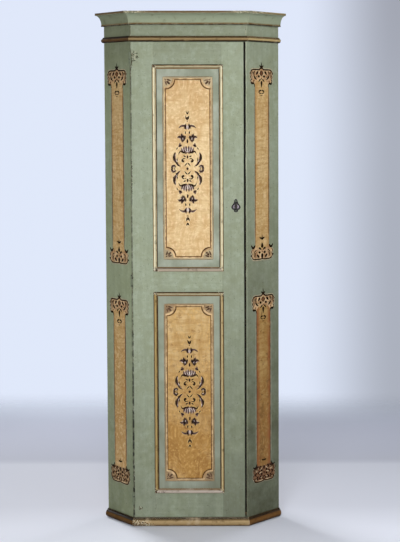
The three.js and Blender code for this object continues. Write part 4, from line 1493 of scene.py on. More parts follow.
LOWER_FOOT = Ornament(
    half_ground=((0.5, -66), (20, -67), (48, -66), (55, -58), (57, -46), (54, -35),
                 (57, -24), (54, -13), (48, -8), (40, -6), (36.5, 0), (28, -4), (12, -6),
                 (0.5, -6)),
    outlines=3,
    half_drawing=stroke_rows(
        (4.2, 54, -58, 46, -67, 20, -68, 0.5, -66, Taper.LINE), (4.2, 55, -12, 60, -23, 55, -34),
        (4.2, 55, -35, 60, -46, 54, -58), (7.6, 38, 5, 42, -6, 50, -10, 59, -5, Taper.SWELL),
        (6.4, 16, -6, 24, -12, 18, -20), (6.4, 31, -6, 39, -13, 33, -22),
        (5.4, 45, -12, 50, -20, 46, -28), (7, 22, -26, 29, -32, 24, -40),
        (7, 38, -28, 46, -36, 40, -45), (7, 16, -45, 24, -53, 17, -61),
        (6.6, 31, -44, 39, -53, 32, -62), (5, 46, -49, 51, -56, 46, -62),
        (5, 0.5, -46, 8, -55, 0.5, -64, Taper.SWELL), (6.4, 0.5, 15, 7, 17, 12, 20)),
    middle_drawing=stroke_rows(
        (9, 0, -6, 0, -14, 0, -24), (6, 0, 13, 0, 20, 0, 31, Taper.COMMA),
        (6.4, 0, -29, 0, -34, 0, -41)),
    half_shading=stroke_rows(
        (5, 6, -14, 28, -12, 50, -16, Taper.SWELL),
        (5, 4, -34, 28, -32, 52, -38, Taper.SWELL),
        (5, 4, -54, 28, -52, 52, -56, Taper.SWELL)),
    half_dabs=((13, -24, 11.0), (13, -38.5, 11.0)),
    half_lights=stroke_rows(
        (3.2, 8, -10, 14, -16, 22, -22), (3.4, 30, -12, 36, -20, 32, -28),
        (3.2, 10, -31, 20, -32, 30, -38), (3.2, 44, -18, 42, -28, 48, -36),
        (3.2, 8, -50, 16, -52, 28, -48), (3.2, 36, -48, 40, -56, 48, -60),
        (2.8, 6, -62, 24, -63, 40, -62)),
)


@dataclass
class PaintedStrip:
    """One ochre strip on a canted board, with its head and its foot.

    Attributes:
        middle: of the strip, from the arris, in millimetres as all its measures.
        head_top, foot_top: heights of the zeros that the ornaments are drawn from.
        shoulder_below, shoulder_above: from those zeros to the ends of the full width.
        head_tongue, foot_tongue: how far the narrower ends run on below the ornaments.
        line_in, pale_out: how far from the edge the dark and the pale lines lie.
        line_start: where the lines start above the lower shoulder.
        line_short: how much shorter they are than the full width's length.
    """

    name: str
    face: Face
    middle: float
    head_top: float
    foot_top: float
    foot: Ornament
    seed: int
    glaze: str = "strip"
    foot_ground: str = "rosy_ochre_ground"
    head_ground: str = "rosy_ochre_ground"
    half_width: float = 36.5
    shoulder_below: float = 62.0
    shoulder_above: float = 6.0
    tongue_inset: float = 6.0
    head_tongue: float = 20.0
    foot_tongue: float = 14.0
    line_in: float = 0.2
    line_start: float = 8.0
    line_short: float = 12.0
    line_widths: tuple[float, float] = (3.0, 4.2)
    pale_out: float = 4.0
    pale_width: float = 3.4
    line_steps: int = 24
    rim_width: float = 5.4
    dark_rim_width: float = 1.6
    head_middle: float | None = None
    foot_middle: float | None = None

    def build(self, paints: Paints) -> None:
        """Paints the strip.

        Args:
            paints: the finishes.
        """
        head_at = (self.middle if self.head_middle is None else self.head_middle, self.head_top)
        foot_at = (self.middle if self.foot_middle is None else self.foot_middle, self.foot_top)
        high, low = self.head_top - self.shoulder_below, self.foot_top + self.shoulder_above
        glaze = Film(self.face, (self.middle, 0), lift=0.1, seed=self.seed, waver=0.3)
        wide, tongue = self.half_width, self.half_width - self.tongue_inset
        top, base = high + self.head_tongue, low - self.foot_tongue
        glaze.fill([(-tongue, base), (tongue, base), (wide, low), (wide, high),
                    (tongue, top), (-tongue, top), (-wide, high), (-wide, low)])
        glaze.finish(f"{self.name}_glaze", paints.glaze[self.glaze], "carcass")
        lines = Film(self.face, (self.middle, 0), lift=0.16, seed=self.seed + 1, waver=0.3)
        pale = Film(self.face, (self.middle, 0), lift=0.08, seed=self.seed + 2, waver=0.4)
        start, length = low + self.line_start, high - low - self.line_short
        heights = [start + length * i / self.line_steps for i in range(self.line_steps + 1)]
        for side, line_width in zip((-1, 1), self.line_widths):
            for film, offset, width in ((lines, -self.line_in, line_width),
                                        (pale, self.pale_out, self.pale_width)):
                u = side * (self.half_width + offset)
                film.stroke(Stroke(tuple((u, v) for v in heights), width, Taper.LINE))
        lines.finish(f"{self.name}_lining", paints.line["brown_lining"], "carcass")
        pale.finish(f"{self.name}_pale_lining", paints.line["pale_lining"], "carcass")
        drawing = Film(self.face, (0, 0), lift=0.3, seed=self.seed + 4)
        brown = Film(self.face, (0, 0), lift=0.25, seed=self.seed + 5)
        rim = Film(self.face, (0, 0), lift=0.14, seed=self.seed + 6)
        lights = Film(self.face, (0, 0), lift=0.28, seed=self.seed + 7)
        for kind, ornament, at in (("head", HEAD, head_at), ("foot", self.foot, foot_at)):
            for film in (drawing, brown, rim, lights):
                film.middle = at
            lights.strokes(both_sides(ornament.half_lights))
            ornament.draw(drawing)
            brown.strokes(both_sides(ornament.half_shading))
            laid = self.foot_ground if kind == "foot" else self.head_ground
            same = laid == self.head_ground
            ornament.edge(rim, self.rim_width if same else self.dark_rim_width)
            ground = Film(self.face, at, lift=0.2, seed=self.seed + 3)
            ground.fill(ornament.ground())
            ground.finish(f"{self.name}_{kind}_ground", paints.line[laid], "carcass")
        rim.finish(f"{self.name}_ornament_rim", paints.line["rosy_rim"], "carcass")
        brown.finish(f"{self.name}_ornament_shading", paints.line["brown_shading"], "carcass")
        lights.finish(f"{self.name}_ornament_lights", paints.line["ivory_strokes"], "carcass")
        drawing.finish(f"{self.name}_ornament", paints.line["brown_black_drawing"], "carcass")


# The whole set of finishes, and what gets which.


class Paints:
    """The finishes that more than one class uses, each made once."""

    CREAM = (214, 204, 170)
    GOLD = (180, 156, 108)
    DARK = (58, 44, 27)
    BLACK = (26, 19, 12)
    SOFT_BROWN = (122, 99, 64)
    GREEN = (150, 160, 137)
    OCHRE = (202, 168, 110)
    RUST = (160, 124, 88)
    LINES = {
        "brown_lining": Line((112, 78, 42), (80, 52, 28), OCHRE, 0.3),
        "pale_lining": Line((168, 160, 138), (140, 140, 120), GREEN, 0.5),
        "border_line": Line((148, 122, 86), (116, 94, 62), (176, 158, 126), 0.5),
        "worn_arris": Line((190, 190, 166), (166, 170, 146), GREEN, 0.7),
        "cream_band": Line((218, 188, 142), (172, 140, 100), (150, 128, 98), 0.35),
        "plum_black_drawing": Line((66, 46, 32), (42, 28, 20), (140, 112, 82), 0.15),
        "plum_leaves": Line((138, 112, 104), (104, 80, 74), (176, 152, 126), 0.3),
        "brown_corner_leaves": Line((104, 78, 60), (66, 46, 34), (176, 150, 120), 0.5),
        "rosy_rim": Line((196, 180, 150), (164, 150, 122), GREEN, 0.4),
        "ivory_strokes": Line((226, 204, 164), (180, 152, 114), RUST, 0.4),
        "brown_shading": Line((128, 86, 56), (96, 60, 38), OCHRE, 0.3),
        "brown_black_drawing": Line((44, 29, 16), (24, 16, 9), (128, 94, 60), 0.1),
        "pale_lilac_strokes": Line((218, 202, 190), (176, 158, 150), OCHRE, 0.35),
        # Painted shadow round the keyhole, and the plate's dark lines.
        "soot": Line((16, 14, 12), (10, 9, 8), (30, 27, 25), 0.2),
        # Polish and painted highlights on the keyhole plate.
        "polished_iron": Line((168, 156, 166), (118, 110, 118), (52, 48, 50), 0.4),
        "green_remains": Line((96, 106, 88), (70, 78, 64), (40, 40, 36), 0.4),
        "pale_ochre_ground": Line((236, 210, 160), (222, 192, 140), OCHRE, 0.3),
        "deep_ochre_ground": Line((206, 172, 110), (190, 154, 96), OCHRE, 0.3),
        "rosy_ochre_ground": Line((208, 176, 132), (172, 132, 92), (136, 100, 74), 0.5),
        # Darker grounds for the feet low on the boards: dirt and painted shade.
        "sooty_ochre_ground": Line((166, 136, 98), (122, 92, 64), OCHRE, 0.3),
        "blackened_ochre_ground": Line((142, 104, 74), (100, 68, 48), RUST, 0.3),
    }

    def __init__(self) -> None:
        """Makes the finishes."""
        self.glaze = {
            "upper_panel": OchreGraining(
                light=(228, 200, 148), middle=(214, 178, 124), deep=(190, 146, 90),
                glint=(248, 222, 176), rippled=0.42, topped=0.4).material(
                    "ochre_graining_upper", 0.06, 0.0),
            "lower_panel": OchreGraining(
                deep=(174, 130, 66), burnt=(126, 80, 36), glint=(220, 178, 108),
                fade_top=1.08, rippled=0.46).material("ochre_graining_lower", 0.1, 0.95),
            "strip": OchreGraining(rimmed=0.4).material("ochre_graining_strip", 0.34, 0.35),
            # A darker copy of the strip glaze for the lowest strip on the right board: deeper
            # glaze and painted shade.
            "low_right_strip": OchreGraining(
                light=(210, 182, 120), middle=(192, 162, 100), deep=(154, 112, 56),
                burnt=(100, 68, 34), glint=(190, 156, 96), rim=(146, 82, 46), rimmed=0.9,
                fade_top=1.05).material("ochre_graining_dark", 0.34, 1.3),
        }
        self.line = {name: line.material(name) for name, line in self.LINES.items()}
        self.iron = Iron(dark=(46, 42, 39), rust=(78, 56, 42)).material("forged_iron", 0.0)
        self.black_iron = Iron(dark=(50, 48, 48), rust=(66, 60, 58)).material("black_iron", 0.0)
        self.rusty_iron = Iron().material("rusty_iron", 0.0)
        self.painted_iron = Iron().material("painted_iron", 0.75)


@dataclass
class CupboardFinish:
    """Gives every piece of the frame its finish."""

    paints: Paints
    nodes: dict[str, bpy.types.Object]

    def dress(self, names: Iterable[str], material: Material) -> None:
        """Gives pieces a material.

        Args:
            names: the pieces' nodes.
            material: what they get.
        """
        for name in names:
            for slot in self.nodes[name].material_slots:
                slot.material = material
            log.info("%s: %s", name, material.name)

    def build(self) -> None:
        """Finishes the case, the door, the mouldings and the ironwork."""
        self._case()
        self._door()
        self._panel_mouldings()
        self._case_mouldings()
        self._ironwork()

    def _case(self) -> None:
        """Paints the boards outside and leaves the rest bare."""
        # The darkening at the foot of each piece is dirt and painted shade, and at the top
        # painted shade.
        green = GreenPaint()
        # The left board's greens are darker and less blue than the rest: painted shade.
        shaded = GreenPaint(base=(154, 163, 132), pale=(164, 173, 144), olive=(146, 154, 118),
                            furrow=(125, 132, 102))
        self.dress(["side_board_left"], shaded.material(
            "green_left_board", Run.UPRIGHT, Bare.LEFT_BOARD,
            Ageing(soil_and_shade=0.26, shade_wash=0.4, seams=(Seam(-0.2228, 0.007, 0.4, 0.95),))))
        # The right board darkens from the floor almost to its top: dirt and painted shade.
        self.dress(["side_board_right"], GreenPaint(dirt=(58, 56, 31)).material(
            "green_right_board", Run.UPRIGHT, Bare.RIGHT_BOARD,
            Ageing(soil_and_shade=0.67, soil_and_shade_top=1.9, shade_wash=0.1, black_edge=Edge.LEFT,
                   seams=(Seam(0.217, 0.0014, 0.8, 0.8, 0.1),))))
        self.dress(["frieze_board"], green.material("green_frieze", Run.LEVEL, Bare.BACK,
                                                    Ageing(shade_wash=0.2)))
        self.dress(["plinth_rail"], green.material("green_plinth", Run.LEVEL, Bare.BACK))
        wood = BareWood()
        upright = wood.material("bare_wood_upright", Run.UPRIGHT)
        level = wood.material("bare_wood_level", Run.LEVEL)
        self.dress([n for n in self.nodes if n.startswith("back_board")], upright)
        # The door stop behind the open joint is painted near black: painted shade, with dust.
        dust_and_shade_wood = BareWood(early=(12, 10, 7), late=(9, 7, 5), pore=(6, 5, 4), dust=(16, 14, 11),
                         stain=(8, 6, 4))
        self.dress(["door_stop"], dust_and_shade_wood.material("black_stop", Run.UPRIGHT))
        self.dress([n for n in self.nodes if n.startswith(("shelf_", "top_", "bottom_"))],
                   level)

    def _door(self) -> None:
        """Paints the frame and the panels of the door."""
        green = GreenPaint()
        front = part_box("door_stile_hinge")[0].y
        key_low, key_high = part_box("escutcheon")
        hole = ((key_low.x + key_high.x) / 2, front, (key_low.z + key_high.z) / 2)
        scars = (
            Scar((-0.211, front, 1.832), (0.028, 0.05, 0.034), 0.76),
            Scar((-0.221, front, 1.822), (0.01, 0.05, 0.045), 0.9),
            Scar((-0.2225, front, 1.36), (0.006, 0.05, 0.13), 0.8),
            Scar((-0.2225, front, 0.72), (0.006, 0.05, 0.2), 0.5),
            Scar((-0.2225, front, 0.16), (0.006, 0.05, 0.12), 0.8),
            Scar((-0.198, front, 0.07), (0.012, 0.05, 0.012), 1.0),
        )
        self.dress(["door_stile_hinge"], green.material(
            "green_hinge_stile", Run.UPRIGHT, Bare.BACK,
            Ageing(soil_and_shade=0.2, soil_and_shade_top=1.0, shade_wash=0.0, scars=scars,
                   seams=(Seam(-0.2228, 0.0046, 0.5, 1.0),))))
        # This stile is darker towards its foot, dirt and painted shade, and its joint edge and
        # keyhole get painted shade.
        self.dress(["door_stile_lock"], green.material(
            "green_lock_stile", Run.UPRIGHT, Bare.BACK,
            Ageing(wear=0.22, soil_and_shade=0.4, soil_and_shade_top=1.7, shade_wash=0.0, black_edge=Edge.RIGHT,
                   seams=(Seam(0.211, 0.0026, 1.0, 0.2, 0.1),), hole=hole)))
        self.dress(["door_rail_bottom", "door_rail_middle"], green.material(
            "green_door_rails", Run.LEVEL, Bare.BACK,
            Ageing(wear=0.12, soil_and_shade=0.14, soil_and_shade_top=1.1)))
        self.dress(["door_rail_top"], green.material("green_top_rail", Run.LEVEL, Bare.BACK,
                                                     Ageing(wear=0.12, soil_and_shade=0.0, shade_wash=0.2)))
        # The upper panel's margin is paler than the lower's, partly as painted reflection.
        looks = {"upper_panel": PanelPaint(margin=(178, 184, 168), border=(196, 174, 136),
                                           border_shade=(170, 152, 118)),
                 "lower_panel": PanelPaint(border=(176, 148, 110), border_shade=(146, 120, 86))}
        for panel in door_panels():
            low = Vector((panel.field_left, 0, panel.field_bottom)) * MM
            high = Vector((panel.field_right, 0, panel.field_top)) * MM
            paint = looks[panel.node].material(f"{panel.name}_paint", (low, high))
            self.dress([panel.node], paint)

    def _panel_mouldings(self) -> None:
        """Gilds the mouldings round the panels, the uprights brighter than the rest."""
        cream, gold, dark = self.paints.CREAM, self.paints.GOLD, self.paints.DARK
        brown, black = self.paints.SOFT_BROWN, self.paints.BLACK
        mauve, ivory, pale_gold = (160, 144, 124), (228, 219, 184), (188, 178, 144)
        # The black band near the panel in each look is the moulding's hollow: dark paint, and
        # painted shade.
        bright = Gilding(((0.0, brown), (0.08, dark), (0.16, gold), (0.28, ivory), (0.68, cream),
                          (0.76, gold), (0.84, black), (0.97, black), (1.0, brown)), wear=0.35)
        warm = Gilding(((0.0, brown), (0.06, dark), (0.2, brown), (0.36, (172, 146, 94)),
                        (0.6, (182, 156, 98)), (0.72, brown), (0.84, black), (0.97, black),
                        (1.0, brown)), rubbed=(162, 136, 88), wear=0.5)
        lit = Gilding(((0.0, brown), (0.06, dark), (0.18, brown), (0.32, gold),
                       (0.62, (220, 200, 152)), (0.74, brown), (0.88, black), (0.97, black),
                       (1.0, brown)), rubbed=(178, 154, 110), wear=0.5)
        dull = Gilding(((0.0, dark), (0.14, dark), (0.28, brown), (0.42, pale_gold),
                        (0.62, pale_gold), (0.76, brown), (0.9, brown), (1.0, brown)), wear=0.4)
        rubbed = Gilding(((0.0, brown), (0.14, mauve), (0.5, (180, 166, 148)), (0.66, mauve),
                          (0.8, dark), (0.92, brown), (1.0, brown)), rubbed=(172, 156, 142),
                         wear=0.8)
        chalky = Gilding(((0.0, brown), (0.12, mauve), (0.3, (190, 176, 164)),
                          (0.64, (184, 170, 156)), (0.8, brown), (0.92, brown), (1.0, brown)),
                         rubbed=(190, 178, 164), wear=0.8)
        looks = {
            ("upper", "left"): bright, ("upper", "right"): bright, ("upper", "top"): dull,
            ("upper", "bottom"): rubbed, ("lower", "left"): warm,
            ("lower", "right"): lit, ("lower", "top"): dull, ("lower", "bottom"): chalky,
        }
        for (panel, side), look in looks.items():
            name = f"{panel}_panel_moulding_{side}"
            low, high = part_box(name)
            axis = 0 if side in ("left", "right") else 2
            start, end = (low, high) if side in ("left", "bottom") else (high, low)
            self.dress([name], look.material(f"gilding_{panel}_{side}", axis, start[axis],
                                             end[axis], (low, high)))

    def _case_mouldings(self) -> None:
        """Paints the cornice green between its lines, and gilds the bead and the base."""
        gold, dark, brown = self.paints.GOLD, self.paints.DARK, self.paints.SOFT_BROWN
        black, tan, umber = self.paints.BLACK, (150, 124, 84), (104, 82, 56)
        # The left length is a darker green than the front and the right, as painted shade; the
        # dark foot band is dark paint and painted shadow under the cornice.
        for side, green, lip, chipped in (
                ("front", (146, 155, 130), (umber, dark), (0.13, 0.05, 0.014)),
                ("left", (132, 139, 112), (umber, dark), (0.1, 0.1, 0.014)),
                ("right", (150, 159, 134), ((150, 134, 98), (190, 178, 142)),
                 (0.16, 0.16, 0.014))):
            look = Gilding(((0.0, dark), (0.07, dark), (0.1, tan), (0.14, brown), (0.17, green),
                            (0.83, green), (0.87, brown), (0.95, lip[0]), (1.0, lip[1])),
                           rubbed=(168, 170, 144), dirt=(116, 114, 88), chipped=chipped, wear=0.3)
            low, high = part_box(f"cornice_{side}")
            chips = {"front": [Vector((low.x, low.y, high.z)), Vector((high.x, low.y, high.z))],
                     "left": [], "right": [Vector((low.x, low.y, high.z))]}
            self._dress_length(f"cornice_{side}", look, chips[side])
        # The left bead is darker as painted shade, the right one has pale places that are wear
        # and painted highlight, and the black lower band is painted shadow.
        self._dress_length("bead_front", Gilding(
            ((0.0, black), (0.14, dark), (0.24, brown), (0.46, (162, 138, 98)),
             (0.68, brown), (0.8, dark), (1.0, dark)), rubbed=(168, 146, 104), wear=0.5))
        self._dress_length("bead_left", Gilding(
            ((0.0, black), (0.2, (72, 48, 24)), (0.5, (108, 78, 40)),
             (0.75, dark), (1.0, black)), rubbed=(96, 74, 48), wear=0.25))
        self._dress_length("bead_right", Gilding(
            ((0.0, black), (0.18, dark), (0.36, (196, 172, 122)), (0.6, gold),
             (0.74, brown), (1.0, dark)), rubbed=(216, 204, 166), wear=0.8))
        # The black bands at the top of the base are painted shadow under the door and the case,
        # and the canted lengths are darker than the front as painted shade.
        self._dress_length("base_moulding_front", Gilding(
            ((0.0, dark), (0.08, brown), (0.3, (166, 140, 98)),
             (0.62, (176, 150, 108)), (0.78, brown), (0.88, black), (1.0, black)),
            rubbed=(196, 176, 146), dirt=(84, 60, 34), chipped=(0.12, 0.05, 0.04),
            wear=1.0), [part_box("base_moulding_front")[0]])
        self._dress_length("base_moulding_left", Gilding(
            ((0.0, black), (0.2, (70, 46, 16)), (0.6, (98, 66, 22)),
             (0.76, black), (1.0, black)), rubbed=(104, 78, 42), wear=0.4))
        self._dress_length("base_moulding_right", Gilding(
            ((0.0, black), (0.16, (86, 60, 30)), (0.5, (124, 86, 44)), (0.7, (108, 74, 38)),
             (0.84, black), (1.0, black)), rubbed=(136, 104, 62), wear=0.5))

    def _dress_length(self, name: str, look: Gilding, corners: Sequence[Vector] = ()) -> None:
        """Gives one length of the case's mouldings its look, from its foot to its top.

        Args:
            name: its node.
            look: its gilding.
            corners: places where it is chipped.
        """
        low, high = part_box(name)
        self.dress([name], look.material(f"gilding_{name}", 2, low.z, high.z, corners))

    def _ironwork(self) -> None:
        """Finishes the hinges, whose knuckles were painted over, and the lock."""
        self.dress([n for n in self.nodes if n.startswith("hinge_")], self.paints.painted_iron)
        self.dress(["lock_case", "lock_cover", "lock_bolt", "bolt_spring", "key_pin"],
                   self.paints.iron)
        self.dress(["escutcheon"], self.paints.black_iron)


def door_panels() -> tuple[PaintedPanel, PaintedPanel]:
    """Returns the upper and the lower panel."""
    return (PaintedPanel("upper_field", "upper_panel", (-7.1, 1399.5), "pale_ochre_ground", 11),
            PaintedPanel("lower_field", "lower_panel", (-4.1, 530.0), "deep_ochre_ground", 20))


@dataclass
class Decoration:
    """All the painter's free work: the door's fields and the strips beside it.

    Attributes:
        paints: the finishes.
        joint: width of the open joint beside the lock stile, in millimetres.
        worn_width: of the rubbed arris.
        worn_from: height where the rubbing starts.
        worn_below: how far below the top of the stile it ends.
        worn_lengths: shortest and longest rubbed or sound length.
        worn_share: share of the lengths that are rubbed.
    """

    paints: Paints
    joint: float = 6.0
    worn_width: float = 1.5
    worn_from: float = 980.0
    worn_below: float = 20.0
    worn_lengths: tuple[float, float] = (20.0, 120.0)
    worn_share: float = 0.62

    def boards(self) -> tuple[Face, Face]:
        """Returns the faces of the left and right canted boards, both from the arris."""
        low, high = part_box("top_board")
        front = low.y
        arris = 2 * high.x - (high.y - low.y)
        return (Face(Vector((-arris, front, 0)), Vector((-DIAGONAL, -DIAGONAL, 0))),
                Face(Vector((arris, front, 0)), Vector((DIAGONAL, -DIAGONAL, 0))))

    def build(self) -> None:
        """Paints the fields and the strips."""
        for panel in door_panels():
            panel.build(self.paints)
        left, right = self.boards()
        strips = (
            PaintedStrip("left_upper_strip", left, -85.5, 1782.6, 1073.3, UPPER_FOOT, 40,
                         head_middle=-87, foot_middle=-82.2),
            PaintedStrip("left_lower_strip", left, -84, 888.3, 222.3, LOWER_FOOT, 50,
                         foot_ground="sooty_ochre_ground", head_middle=-84.1, foot_middle=-86.4),
            PaintedStrip("right_upper_strip", right, 78, 1786.1, 1088.9, UPPER_FOOT, 60,
                         head_middle=76, foot_middle=78),
            PaintedStrip("right_lower_strip", right, 84, 903.7, 228.6, LOWER_FOOT, 70,
                         glaze="low_right_strip", foot_ground="blackened_ochre_ground",
                         head_middle=83, foot_middle=86),
        )
        for strip in strips:
            strip.build(self.paints)
        self._worn_lock_edge()

    def _worn_lock_edge(self) -> None:
        """Rubs the paint off the arris that the door closes against, in short lengths."""
        low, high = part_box("door_stile_lock")
        front = Face(Vector((0, low.y, 0)), FRONT)
        beside = high.x / MM + self.joint + self.worn_width / 2
        worn = Film(front, (beside, 0), lift=0.1, seed=90, waver=0.2)
        hand = random.Random(91)
        height, top = self.worn_from, high.z / MM - self.worn_below
        while height < top:
            length = hand.uniform(*self.worn_lengths)
            if hand.random() < self.worn_share:
                middle = (0.0, height + length / 2)
                worn.stroke(Stroke(((0.0, height), middle, (0.0, height + length)),
                                   self.worn_width * hand.uniform(0.5, 1.0), Taper.SWELL))
            height += length
        worn.finish("worn_lock_edge", self.paints.line["worn_arris"], "carcass")


@dataclass
class Fixings:
    """The nails, screws and pins, and the worn face of the keyhole plate.

    Attributes:
        paints: the finishes.
        nodes: the frame's pieces by name.
        head, screw, pin: widths of the heads of nails, screws and pins, in millimetres.
        slot: half of a screw's slot, across and up.
        slot_width: of the slot.
        slot_lift: how far it stands off the head, so that it shows.
        leaf_inset, cover_inset: from the edges to the screws.
        nail_rows: heights of the nails.
        nail_columns: their places along the back walls, from the corner.
    """

    paints: Paints
    nodes: dict[str, bpy.types.Object]
    head: float = 7.0
    screw: float = 5.0
    pin: float = 2.4
    slot: Point = (1.5, 1.2)
    slot_width: float = 0.7
    slot_lift: float = 0.03
    leaf_inset: float = 8.0
    cover_inset: float = 5.0
    nail_rows: tuple[float, ...] = (36.0, 479.0, 944.0, 1408.0)
    nail_columns: tuple[float, ...] = (40.0, 195.0, 275.0, 430.0, -54.0, -202.0, -282.0, -430.0)

    def build(self) -> None:
        """Drives every nail and screw."""
        self._back_nails()
        for name in self.nodes:
            if name.endswith("_door_leaf"):
                self._leaf_screws(name, "door", -1)
            elif name.endswith("_frame_leaf"):
                self._leaf_screws(name, "carcass", 1)
        self._cover_screws()
        self._key_plate()

    def _back_nails(self) -> None:
        """Nails the back boards to the floor board and the cleats."""
        corner = Vector((0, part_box("top_board")[1].y, 0))
        for name, side in (("left", 1), ("right", -1)):
            face = Face(corner, Vector((-side * DIAGONAL, DIAGONAL, 0)))
            heads = Film(face, (0, 0), lift=0.6, seed=100 + side, waver=0.8)
            for u in self.nail_columns:
                if u * side > 0:
                    for height in self.nail_rows:
                        heads.dot(u, height, self.head)
            heads.finish(f"back_nails_{name}", self.paints.rusty_iron, "carcass")

    def _screws(self, face: Face, places: Iterable[Point], lift: float, name: str,
                body: str) -> None:
        """Drives slotted screws into a face.

        Args:
            face: the face.
            places: the middles of the heads on it.
            lift: how far they stand out, in millimetres.
            name: the start of the pieces' names.
            body: the body that they move with.
        """
        heads = Film(face, (0, 0), lift=lift, seed=110, waver=0.05)
        slots = Film(face, (0, 0), lift=lift + self.slot_lift, seed=111, waver=0.02)
        across, up = self.slot
        for u, v in places:
            heads.dot(u, v, self.screw)
            slots.stroke(Stroke(((u - across, v - up), (u, v), (u + across, v + up)),
                                self.slot_width, Taper.LINE))
        heads.finish(f"{name}_screws", self.paints.iron, body)
        slots.finish(f"{name}_screw_slots", self.paints.black_iron, body)

    def _leaf_screws(self, name: str, body: str, side: int) -> None:
        """Drives three screws into the open face of a hinge leaf.

        Args:
            name: the leaf's node.
            body: the body that it moves with.
            side: 1 if its open face looks right, and -1 if it looks left.
        """
        faces = [f for f in self.nodes[name].data.polygons if f.normal.x * side > 0.5]
        broad = max(faces, key=lambda f: f.area)
        low, high = (corner.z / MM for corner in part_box(name))
        face = Face(Vector((broad.center.x, broad.center.y, 0)), broad.normal.normalized())
        rows = (low + self.leaf_inset, (low + high) / 2, high - self.leaf_inset)
        self._screws(face, [(0.0, v) for v in rows], 0.1, name, body)

    def _cover_screws(self) -> None:
        """Screws the cover to the lock."""
        low, high = (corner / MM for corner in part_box("lock_cover"))
        face = Face(Vector((0, high.y * MM, 0)), -FRONT)
        inset = self.cover_inset
        places = [(-x, z) for x in (low.x + inset, high.x - inset)
                  for z in (low.z + inset, high.z - inset)]
        self._screws(face, places, 0.5, "lock_cover", "door")

    def _key_plate(self) -> None:
        """Pins the keyhole plate, polishes it where the key and the hand rub it, and paints its
        highlights and the shadow round the keyhole.
        """
        low, high = (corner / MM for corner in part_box("escutcheon"))
        face = Face(Vector((0, low.y * MM, 0)), FRONT)
        middle = ((low.x + high.x) / 2, (low.z + high.z) / 2)
        # Polish where the plate is rubbed, with painted highlights on its lobes.
        polish_and_highlight = Film(face, middle, lift=0.06, seed=120, waver=0.2)
        for side in (1, -1):
            polish_and_highlight.stroke(Stroke(((side * 6, -11), (side * 8.8, -4), (side * 5.0, 4)), 5.6))
        polish_and_highlight.finish("key_plate_polish", self.paints.line["polished_iron"], "door")
        green = Film(face, middle, lift=0.05, seed=121, waver=0.4)
        green.dot(0, -20, 8.0, 6.0)
        green.dot(0, 18, 5.0, 8.0)
        green.finish("key_plate_green_remains", self.paints.line["green_remains"], "door")
        # Painted shadow above and below the keyhole, and dark lines round the plate's lobes.
        soot = Film(face, middle, lift=0.08, seed=123, waver=0.2)
        for side in (1, -1):
            for points in (((16, -8), (12.5, 2), (6, 11), (2, 22)),
                           ((15, -13), (7.5, -16), (5, -23))):
                soot.stroke(Stroke(tuple((u * side, v) for u, v in points), 2.6, Taper.SWELL))
        for start, end in ((-20, -8), (6, 16)):
            soot.stroke(Stroke(((0, start), (0, end)), 3.6))
        soot.finish("key_plate_soot", self.paints.line["soot"], "door")
        pins = Film(face, middle, lift=0.5, seed=122, waver=0.05)
        for u, v in ((0, 22), (-14, -9), (14, -9), (0, -22)):
            pins.dot(u, v, self.pin)
        pins.finish("key_plate_pins", self.paints.black_iron, "door")


# The studio.


@dataclass(frozen=True)
class Lamp:
    """A soft box: its place, what it looks at, its size, power and spread in degrees."""

    name: str
    place: Place
    aim: Place
    size: float
    watts: float
    spread: float


